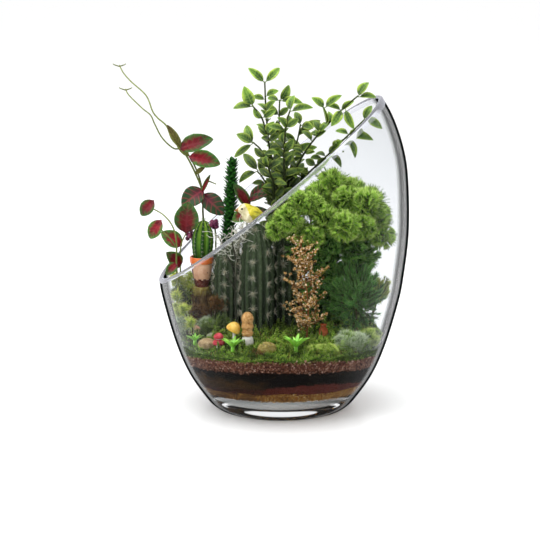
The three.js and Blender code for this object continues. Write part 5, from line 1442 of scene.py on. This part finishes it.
def cushionShape(cushion):
    # Clumps sit close together over a low dome, their shoots standing out on all sides. A share of them,
    # mixed, is plain bed moss.
    draw = drawsOf(cushion)
    middle = onBed(*cushion["place"]) - (0, 0, 0.5)
    half, clumps, shoots = np.array(cushion["half"]), cushion["clumps"], cushion["shoots"]
    way = unit(allRound(clumps, -0.05) + draw.normal(0, 0.15, (clumps, 3)))
    spot = middle + way * half * draw.uniform(0.45, 1.0, (clumps, 1))
    reach = half.min() * draw.uniform(0.3, 0.75, (clumps, 1, 1))
    way = unit(draw.normal(size=(clumps, shoots, 3)) + (0, 0, 0.4))
    origin = (spot[:, None] + way * reach * draw.uniform(0.3, 0.9, (clumps, shoots, 1))).reshape(-1, 3)
    lean = (way + draw.normal(0, 0.4, way.shape) + (0, 0, 0.35)).reshape(-1, 3)
    tone = np.repeat(draw.uniform(0.1, 0.9, clumps), shoots) + draw.normal(0, 0.15, len(origin))
    tone = np.clip(tone, 0, 1)
    # The dome under the shoots takes the dark end of the ramp: painted shade.
    body = scatter(ball(10, 18), middle, (1, 0, 0), upright, [half * 0.5], 0.1)
    growth = spikes(origin, lean, draw.uniform(*cushion["length"], len(origin)), 0.3, tone)
    growth["triPaint"] = np.repeat(draw.uniform(0, 1, clumps) < cushion["mixed"], shoots * 4).astype(int)
    whole = join([body, growth])
    return fenced(whole, 0.4)


for name, cushion in cushions.items():
    putPiece(name, cushionShape(cushion), [cushion["material"], mossLeaf], cushion["slot"])

# Moss in painted shade: dull dark green with olive tips, for the dark mounds that fill the gaps.
paintedShadeMoss = leafSkin("paintedShadeMossShoots", {
    "ramp": {0: "#25301a", 0.5: "#4a5f2a", 1: "#8ea052"}, "margin": "#566a30", "border": (0.7, 0.95),
    "mottle": 9, "light": (0.5, 1.3), "rough": 0.75})
# Each mound: its middle, its reach, and its moss: 0 yellow-green, 2 frosty, 3 in painted shade, 4 withered.
mossSprigs = {"foot": (-69, -29), "neck": (-70, -29, 66), "fork": (-69.5, -29, 64),
    "tips": [(-82, -19, 94), (-76, -30, 86), (-70, -35, 76)], "bloom": 260, "needle": (2.2, 5.0),
    "low": 150, "lowNeedle": (1.5, 3.6), "moundShoots": 700, "moundNeedle": (2, 5), "seed": 69,
    "mounds": [(-77, 0, 74, 9, 0), (-72, 26, 78, 13, 3), (-52, 30, 84, 14, 3), (-60, -10, 67, 8, 2),
        (-46, -16, 69, 8, 3), (-81, -12, 80, 7, 0), (-67, -3, 76, 8, 4), (-76, 12, 90, 9, 0),
        (-56, 16, 92, 10, 3), (-50, -3, 84, 8, 4), (-79, -20, 70, 7, 2), (-72, 30, 96, 9, 0),
        (-30, 18, 76, 12, 3), (-82, 14, 84, 9, 3), (-79, 24, 74, 11, 3), (-84, 2, 90, 7, 3),
        (-84, 10, 100, 6, 0), (-58, -20, 66, 6, 3), (-31, 24, 128, 10, 3), (-30, 24, 112, 8, 3),
        (-53, 29, 112, 8, 3), (-55, 31, 97, 9, 3)]}


def bloomShape(tip, draw):  # needles all round a tip, longer where the lumps swell it
    way = allRound(mossSprigs["bloom"], -0.9)
    swell = np.clip(1 + 0.4 * lumps(way + tip, 0.9, 3), 0.35, 1.7)[:, None]
    lean = way + draw.normal(0, 0.45, way.shape) + (0, 0, 0.3)
    length = draw.uniform(*mossSprigs["needle"], len(way)) * swell[:, 0]
    bloom = spikes(tip + way * (1, 1, 1.5) * 1.3 * swell, lean, length, 0.3, draw.uniform(0.2, 1, len(way)))
    return fenced(bloom)


def moundShape(x, y, z, reach, paint, draw):  # shoots all round a middle, from their own depths
    n = mossSprigs["moundShoots"]
    way = allRound(n, -0.7)
    swell = np.clip(1 + 0.28 * lumps(way + (x, y, z), 1.1, 6), 0.45, 1.3)[:, None]
    origin = np.array([x, y, z]) + way * reach * draw.uniform(0.45, 0.85, (n, 1)) * swell
    lean = way + draw.normal(0, 0.5, way.shape) + (0, 0, 0.4)
    length, tone = draw.uniform(*mossSprigs["moundNeedle"], n), draw.uniform(0, 1, n)
    mound = spikes(origin, lean, length, 0.34, tone, paint=paint)
    return fenced(mound)


def sprigShape():
    # A short stem forks into limbs that end in a bloom and carry frosty shoots, painted darker as shade;
    # mounds stand behind.
    draw = drawsOf(mossSprigs)
    fork, n = np.array(mossSprigs["fork"], float), mossSprigs["low"]
    shapes = [tube(curved([*footOf(*mossSprigs["foot"]), mossSprigs["neck"]], 14), 1.1, 7, 1)]
    for tip in np.array(mossSprigs["tips"], float):
        path = curved([fork, (fork + tip) / 2 + (1.0, 0, 1.5), tip], 24)
        shapes += [tube(path, np.linspace(0.7, 0.4, 24), 6, 1), bloomShape(tip, draw)]
        share = draw.uniform(0.1, 0.95, n)
        lean = draw.normal(size=(n, 3)) + (0, 0, 0.8)
        # The low shoots draw only the darker tones: painted shade.
        length, tone = draw.uniform(*mossSprigs["lowNeedle"], n), draw.uniform(0, 0.8, n)
        shapes.append(spikes(pointAt(path, share), lean, length, 0.26, tone, paint=2))
    return join(shapes + [moundShape(*mound, draw) for mound in mossSprigs["mounds"]])


putPiece("mossSprigs", sprigShape(), [yellowNeedles, twigWood, frostyShoots, paintedShadeMoss, dryMoss],
    "yellow_green_moss")
print("mosses have grown")

# Everlasting florets, dried in the air: papery and matt, orange at the heart, cream at the tips.
driedFlorets = leafSkin("paperyOrangeFlorets", {
    "ramp": {0: "#84511a", 0.5: "#c98c38", 1: "#f7e2b0"}, "margin": "#d8a75c", "vein": "#8a5220",
    "lines": 0.25, "veins": 3, "mottle": 4, "light": (0.42, 1.4), "rough": 0.8})
# The youngest florets, dried while still green.
greenFlorets = leafSkin("youngGreenFlorets", {
    "ramp": {0: "#4f6e1e", 0.5: "#86a236", 1: "#d0cf74"}, "margin": "#a8b850", "vein": "#5f7a28",
    "lines": 0.2, "veins": 3, "mottle": 4, "light": (0.5, 1.25), "rough": 0.8})
# Seed husks, dried: smooth cream beads of 1 to 1.6 mm.
creamBeads = grainySkin("creamSeedBeads", {
    "grain": 2, "rough": 0.6, "ownShare": 0.6, "bump": 0.15,
    "ramp": {0: "#b8844c", 0.5: "#dcbf92", 1: "#f3e6cc"}})
# The stalk, dried: matt brown, greenish at its top.
driedStalk = leafSkin("driedBrownStalk", {
    "ramp": {0: "#4a2f1c", 0.6: "#8a5a32", 1: "#7c8a3c"}, "margin": "#8a5a32", "mottle": 4, "rough": 0.8})
spray = {"foot": (20, -38), "way": [[21, -37, 90], [18, -36, 115], [15, -35, 140]], "branches": 9,
    "sideBranches": 60, "florets": (0.3, 0.45, 0.6, 0.74, 0.87, 1), "petals": 6, "greenAbove": 143,
    "petal": (0.9, 1.8), "petalWidth": (0.7, 1.1), "bead": (0.4, 0.8), "seed": 71}


def sprayPaint(p):  # the youngest florets, high on the spray, are green
    return np.where(p[:, 2] + 4 * lumps(p, 8, 4) > spray["greenAbove"], 3, 0)


def sprayShape():
    # Branches leave the stalk in turn, and shorter ones at random; side stalks carry florets round beads.
    draw = drawsOf(spray)
    stalk = curved([*footOf(*spray["foot"]), *spray["way"]], 50)
    shapes = [tube(stalk, np.linspace(0.9, 0.45, 50), 7, 1)]
    centres = [np.array(spray["way"][-1], float)]
    for branch in range(spray["branches"] + spray["sideBranches"]):
        if branch < spray["branches"]:
            root, turn, spread = pointAt(stalk, 0.22 + 0.086
                * branch), branch * 2.4 + 0.3, 19 - abs(branch - 4) * 1.3
        else:
            root, turn = pointAt(stalk, draw.uniform(0.16, 0.97)), draw.uniform(0, fullTurn)
            spread = draw.uniform(5, 22) * (1 - 0.5 * abs(pointAt(stalk, 0.5)[2] - root[2]) / 50)
        tip = root + (math.cos(turn) * spread, math.sin(turn) * spread * 0.36, 5 + draw.uniform(1, 5))
        path = curved([root, (root + tip) / 2 - (0, 0, 1.5), tip], 14)
        shapes.append(tube(path, np.linspace(0.42, 0.22, 14), 5, 1))
        for share in spray["florets"]:
            knot = pointAt(path, share)
            centres.append(knot + draw.normal(0, 1.4, 3) + (0, 0, 1.2))
            shapes.append(tube(np.linspace(knot, centres[-1], 3), 0.18, 4, 1))
    centres, petals = np.array(centres), spray["petals"]
    n = len(centres) * petals
    way = unit(np.tile(allRound(petals, -0.6), (len(centres), 1)) + draw.normal(0, 0.3, (n, 3)))
    size = stacked(draw.uniform(*spray["petal"], n), draw.uniform(*spray["petalWidth"], n), np.full(n, 1.3))
    tone = np.clip(np.repeat(draw.uniform(0.1, 0.9, len(centres)), petals) + draw.normal(0, 0.2, n), 0, 1)
    florets = scatter(blade(5, 5, roundLeaf, 0.2, 0.1), np.repeat(centres, petals, 0), way,
        draw.normal(size=way.shape), size, tone)
    beads = scatter(ball(4, 7), centres + draw.normal(0, 0.7, centres.shape), (1, 0, 0), upright,
        draw.uniform(*spray["bead"], len(centres)), draw.uniform(0, 1, len(centres)), 2)
    return join([*shapes, paintFaces(florets, sprayPaint), beads])


putPiece("driedSpray", sprayShape(), [driedFlorets, driedStalk, creamBeads, greenFlorets], "dried_spray")

# Strap leaves, grown: waxy and smooth, fresh lime green with a soft shine.
limeStraps = leafSkin("waxyLimeStraps", {
    "ramp": {0: "#5fae22", 0.5: "#8fdc3a", 1: "#b4ee66"}, "margin": "#7fcc30", "vein": "#c3f07e",
    "lines": 0.15, "mottle": 6, "light": (0.75, 1.1), "shine": 0.6, "rough": 0.35})
rosettes = {
    "limeRosetteMiddle": {"place": (-37, -62), "reach": 9.5, "leaves": 6, "seed": 72},
    "limeRosetteRight": {"place": (11, -66), "reach": 11, "leaves": 6, "seed": 73},
    "limeRosetteLeft": {"place": (-66.5, -37), "reach": 7, "leaves": 5, "seed": 74},
}
strapBlade = blade(16, 8, strapLeaf, 0.1, 0.4)


def rosetteShape(rosette):
    # Two whorls of straps at even turns, the inner one steeper and half a step on.
    draw = drawsOf(rosette)
    buried, ground = np.array(footOf(*rosette["place"], 5))
    n = np.arange(rosette["leaves"])
    turn = (n + 0.3) / len(n) * 2 * math.pi
    outer = stacked(np.cos(turn), np.sin(turn) * 0.75, 1.6 + 0.5 * (n % 2))
    inner = stacked(np.cos(turn + 0.5), np.sin(turn + 0.5) * 0.75, 2.4 + 0.8 * (n % 2))
    way = np.concatenate([outer, inner])
    length = rosette["reach"] * np.concatenate([np.full(len(n), 1.15), draw.uniform(0.8, 1.0, len(n))])
    leaves = scatter(strapBlade, ground - (0, 0, 1.5), way, upright,
        stacked(length, 0.21 * length + 0.2, length), draw.uniform(0.2, 1, len(way)))
    return join([leaves, tube(curved([buried, ground], 6), 1.4, 8)])


for name, rosette in rosettes.items():
    putPiece(name, rosetteShape(rosette), [limeStraps], "lime_leaf")

# River pebbles, tumbled by water: smooth and dull, with 2 mm flecks, each of its own stone.
pebbles = {
    "tanPebble": {"slot": "tan_stone", "at": (-57, -47, 1.5), "size": (13.5, 9, 9),
        "seed": 81, "ramp": {0: "#6b5539", 0.5: "#a38a63", 1: "#d2bd95"}},
    "greyGreenPebble": {"slot": "grey_stone", "at": (-53, -30, 0.8), "size": (11, 8, 5.5),
        "seed": 82, "ramp": {0: "#555a46", 0.5: "#7c8068", 1: "#a4a68e"}},
    "olivePebble": {"slot": "olive_stone", "at": (-11, -66, 2), "size": (15, 9, 10.5),
        "seed": 83, "ramp": {0: "#4f4524", 0.5: "#8a7a42", 1: "#c0ad6c"}},
    "pinkPebble": {"slot": "pink_stone", "at": (-68, -17, 3), "size": (9.5, 8, 9.5),
        "seed": 84, "ramp": {0: "#8f5e4c", 0.5: "#c48f78", 1: "#e3bfa8"}},
}


def pebbleShape(pebble):  # a ball with large shallow lumps and small ones, pressed to its size
    stone, seed = ball(30, 44), pebble["seed"]
    swell = 1 + 0.035 * lumps(stone["points"], 1.6, seed) + 0.008 * lumps(stone["points"], 0.4, seed + 9)
    half = np.array(pebble["size"]) / 2 * 0.98
    stone["points"] = stone["points"] * swell[:, None] * half + onBed(*pebble["at"])
    return stone


for name, pebble in pebbles.items():
    skin = grainySkin(name + "Stone", {"grain": 2.2, "rough": 0.6, "bump": 0.25, "ramp": pebble["ramp"]})
    putPiece(name, pebbleShape(pebble), [skin], pebble["slot"])
print("rosettes and pebbles lie on the moss")


def castPaint(name, stops, roughness=0.5, grain=3.5):
    # Brushed-on paint with soft clouds as large as grain, a little worn.
    return grainySkin(name, {"grain": grain, "rough": roughness, "bump": 0.25, "ramp": stops})


# White glaze on fired clay, finely crackled, with tan in the cracks.
paleGlaze = castPaint("crackledPaleGlaze", {0: "#a79d90", 0.5: "#d9d4cc", 1: "#f2efea"})
# Cast resin, stained tan and wiped: its 2 mm wrinkles stay dark.
tanResin = castPaint("wrinkledTanResin", {0: "#7a5228", 0.5: "#b98a52", 1: "#dab883"}, 0.6, 2.2)
# Cast resin, painted by brush in yellow and in a shinier red.
yellowResin = castPaint("paintedYellowResin", {0: "#b5802a", 0.5: "#dcae4a", 1: "#f1d384"})
redResin = castPaint("paintedRedResin", {0: "#7c1a26", 0.5: "#b0303a", 1: "#d8606a"}, 0.4)
# Unglazed terracotta, thrown and fired: quite matt, with a 2.5 mm mottle.
terracotta = castPaint("bareTerracotta", {0: "#6e3018", 0.5: "#a5522c", 1: "#c97a52"}, 0.85, 2.5)

# Each ornament: its place on the bed, its turned outline of (radius, height), points round and rows.
toadstoolFoot = {"at": (-26, -53, -1.5), "outline": [(0, 0), (3.2, 0.1), (3.9, 0.8), (4.6, 3.2), (4.4, 6),
    (3.6, 8), (2, 8.6), (0, 8.65)]}
toadstoolBody = {"above": 8.8, "rows": 80, "around": 64, "wrinkles": 0.22, "seed": 91,
    "outline": [(0, 0), (3.2, 0), (4.4, 2.2), (3.7, 4.6), (4.6, 7.4), (3.9, 10), (4.7, 13), (3.9, 16),
        (2.2, 18.1), (0, 18.7)]}
yellowToadstool = {"foot": (-36, -51, 6), "neck": (-36.5, -52, 76.0), "tilt": -0.5, "rows": 60, "around": 64,
    "outline": [(0, -1), (2.6, -1.1), (4.8, -2.3), (5.5, -1.6), (5.2, 0.6), (3.7, 3.3), (1.8, 4.7), (0, 5)]}
redToadstools = {"at": (-48, -53, -1.5), "rows": 80, "around": 56, "paleBelow": 2.9, "paleNeck": (7.2, 7.9),
    "outline": [(0, 0), (1.6, 0), (1.7, 2.6), (3.9, 3.0), (4.4, 4.4), (3.4, 6.4), (1.9, 7.4), (3.4, 7.9),
        (3.8, 9.2), (2.7, 11), (1.2, 11.9), (0, 12)]}
terracottaJar = {"at": (33, -31, -1.5), "rows": 80, "around": 48,
    "outline": [(0, 0), (2, 0), (3.2, 2), (3.5, 4.2), (3.1, 6.6), (2.1, 8.2), (2, 9), (2.6, 10.2),
        (2.2, 10.5), (1.5, 9.6), (0, 9.2)]}


def wrinkled(shape, place, depth, seed):  # presses soft wrinkles round an upright piece, none at its axis
    aside = (shape["points"] - place) * (1, 1, 0)
    amount = lumps(shape["points"] * (1, 1, 2.2), 3.4,
        seed) * depth * smoothStep(0.5, 2.5, np.linalg.norm(aside, axis=1))
    shape["points"] = shape["points"] + unit(aside) * amount[:, None]
    return shape


footPlace = onBed(*toadstoolFoot["at"])
putPiece("toadstoolFoot", turnedShape(toadstoolFoot, footPlace), [paleGlaze], "pale_glaze")

bodyPlace = footPlace + (0, 0, toadstoolBody["above"])
body = turnedShape(toadstoolBody, bodyPlace)
putPiece("toadstoolBody", wrinkled(body, bodyPlace, toadstoolBody["wrinkles"], toadstoolBody["seed"]),
    [tanResin], "tan_resin")

neck = np.array(yellowToadstool["neck"])
cap = turnedShape(yellowToadstool, neck)
neckStem = tube(curved([*footOf(*yellowToadstool["foot"]), neck], 18), np.linspace(1.5, 1.1, 18), 12, 1)
putPiece("yellowToadstool", join([cap, neckStem]), [yellowResin, paleGlaze], "yellow_resin")

capsPlace = onBed(*redToadstools["at"])
caps = turnedShape(redToadstools, capsPlace)
heights = caps["points"][caps["quads"]].mean(1)[:, 2] - capsPlace[2]
neckLow, neckHigh = redToadstools["paleNeck"]
pale = (heights < redToadstools["paleBelow"]) | ((heights > neckLow) & (heights < neckHigh))
caps["quadPaint"] = pale.astype(int)
putPiece("redToadstools", caps, [redResin, paleGlaze], "red_resin")

jar = turnedShape(terracottaJar, onBed(*terracottaJar["at"]))
putPiece("terracottaJar", jar, [terracotta], "terracotta")

# The little bird on the middle cactus looks left: cast resin, painted by brush in soft patches.
birdWhite = castPaint("paintedCreamBreast", {0: "#8f8660", 0.5: "#cdc49c", 1: "#ece6cc"})
birdYellow = castPaint("paintedYellowBack", {0: "#8f8220", 0.5: "#c2b636", 1: "#e4da72"})
birdOlive = castPaint("paintedOliveBelly", {0: "#6d6a20", 0.5: "#9a9632", 1: "#c4bd56"})
birdBeak = castPaint("paintedHornBeak", {0: "#6b4a28", 0.5: "#9a7140", 1: "#c79c62"}, 0.4)
birdDark = castPaint("darkEyeAndTail", {0: "#14130f", 0.5: "#2a2a20", 1: "#4b4c38"}, 0.3)
# Its way runs from the tail root to the beak, with (half width, half height) as its girths.
bird = {"middle": (-22.5, -11.2, 157.4), "rows": 60, "around": 48, "beakFrom": -11.3, "whiteFrom": -1.5,
    "way": [(9, 0, 0.2), (4, 0, 0), (-2, 0, 0.6), (-5, 0, 3), (-8, 0, 4.2), (-11.4, 0, 4), (-14.6, 0, 3.4)],
    "girths": [(0.6, 1.0, 0), (5.4, 5.8, 0), (6.9, 7.2, 0), (5.6, 6.2, 0), (5.0, 5.0, 0), (1.9, 1.8, 0),
        (0.12, 0.12, 0)]}


def birdPaint(places):  # horn beak, cream breast and head, yellow back over an olive belly
    p = places - bird["middle"]
    edge = p[:, 0] + 0.5 * p[:, 2] + 0.5 * lumps(p, 4, 3)
    back = np.where(p[:, 2] > 0.6, 1, 2)
    return np.where(p[:, 0] < bird["beakFrom"], 4, np.where(edge < bird["whiteFrom"], 0, back))


def birdShape():
    # Ovals of the given girths, each square to the way; then eyes, wings and the tail.
    way, girth = curved(bird["way"], bird["rows"]), curved(bird["girths"], bird["rows"])
    turn = evenTurns(bird["around"])
    tangent = unit(np.gradient(way, axis=0))
    over = unit(np.cross(tangent, (0, 1, 0)) * -1)
    side = np.cross(over, tangent)
    rings = way[:, None] + girth[:, :1, None] * side[:, None] * np.cos(turn)[:, None] \
        + girth[:, 1:2, None] * over[:, None] * np.sin(turn)[:, None]
    middle = np.array(bird["middle"])
    eyes = scatter(ball(8, 12), middle + [(-8.2, -4.2, 5.4), (-8.2, 4.2, 5.4)], (1, 0, 0), upright,
        1.0, 0.3, 3)
    wings = scatter(blade(14, 12, ovateLeaf, 0.05, 0.1), middle + [(-2, -6.1, 2.4), (-2, 6.1, 2.4)],
        [(1, 0.12, -0.12), (1, -0.12, -0.12)], [(0, -1, 0.35), (0, 1, 0.35)], [(9, 4.6, 9)], 0.5, 2)
    tail = scatter(blade(14, 12, strapLeaf, 0, 0), middle + (5, 0, 0.5), (1, 0, 0.25), upright,
        [(9, 4.5, 18)], 0.5, 3)
    return join([paintFaces(wrapRings(rings + middle), birdPaint), eyes, wings, tail])


putPiece("birdFigure", birdShape(), [birdWhite, birdYellow, birdOlive, birdDark, birdBeak], "bird_resin")
print("ornaments are set out")

# The studio, in metres: a pale floor, white surroundings, soft lamps, and the camera of the photo.
studio = {"floorColour": "#ffffff", "floorHalf": 6, "worldColour": "#ffffff", "worldStrength": 1.0,
    "azimuth": 0, "elevation": 11.5, "distance": 1.5, "target": (-0.0088, 0, 0.1108), "lens": 125, "film": 36}
lamps = {"overheadSoftbox": {"place": (-0.2, -0.2, 1.6), "aim": (0, 0, 0.1), "size": 1.2, "power": 16},
    "leftSoftbox": {"place": (-1.3, -0.9, 1.0), "aim": (0, 0, 0.12), "size": 0.7, "power": 11},
    "rightSoftbox": {"place": (1.4, -0.5, 0.8), "aim": (0, 0, 0.12), "size": 0.8, "power": 4}}
scene = bpy.context.scene
half = studio["floorHalf"]
floorMesh = bpy.data.meshes.new("studioFloor")
floorMesh.from_pydata([(-half, -half, 0), (half, -half, 0), (half, half, 0), (-half, half, 0)], [],
    [(0, 1, 2, 3)])
studioFloor = bpy.data.objects.new("studioFloor", floorMesh)
scene.collection.objects.link(studioFloor)
# Cast acrylic sheet, satin: white, with a faint blurred mirror of the glass.
floorPaint, node = openMaterial("whiteAcrylicFloor")
satin = node("BsdfPrincipled", {"Base Color": studio["floorColour"], "Roughness": 0.28, "IOR": 1.45})
node("OutputMaterial", {0: satin})
floorMesh.materials.append(floorPaint)

world = bpy.data.worlds.new("whiteStudio")
scene.world = world
world.use_nodes = True
background = world.node_tree.nodes["Background"]
background.inputs["Color"].default_value = hexToLinear(studio["worldColour"])
background.inputs["Strength"].default_value = studio["worldStrength"]

for name, look in lamps.items():  # square soft lamps, each turned by its two angles to face its aim
    lamp = bpy.data.lights.new(name, "AREA")
    lamp.size, lamp.energy = look["size"], look["power"]
    holder = bpy.data.objects.new(name, lamp)
    scene.collection.objects.link(holder)
    holder.location = look["place"]
    way = unit(np.subtract(look["aim"], look["place"]))
    holder.rotation_euler = (math.acos(-way[2]), 0, math.atan2(way[1], way[0]) - math.pi / 2)

camera = bpy.data.objects.new("photoCamera", bpy.data.cameras.new("photoCamera"))
scene.collection.objects.link(camera)
camera.data.lens = studio["lens"]
camera.data.sensor_width = studio["film"]
rise, swing = math.radians(studio["elevation"]), math.radians(studio["azimuth"])
back = np.array([math.sin(swing) * math.cos(rise), -math.cos(swing) * math.cos(rise), math.sin(rise)])
camera.location = np.array(studio["target"]) + back * studio["distance"]
camera.rotation_euler = (math.pi / 2 - rise, 0, swing)
scene.camera = camera
scene.view_settings.view_transform = "Standard"
print("studio is lit")
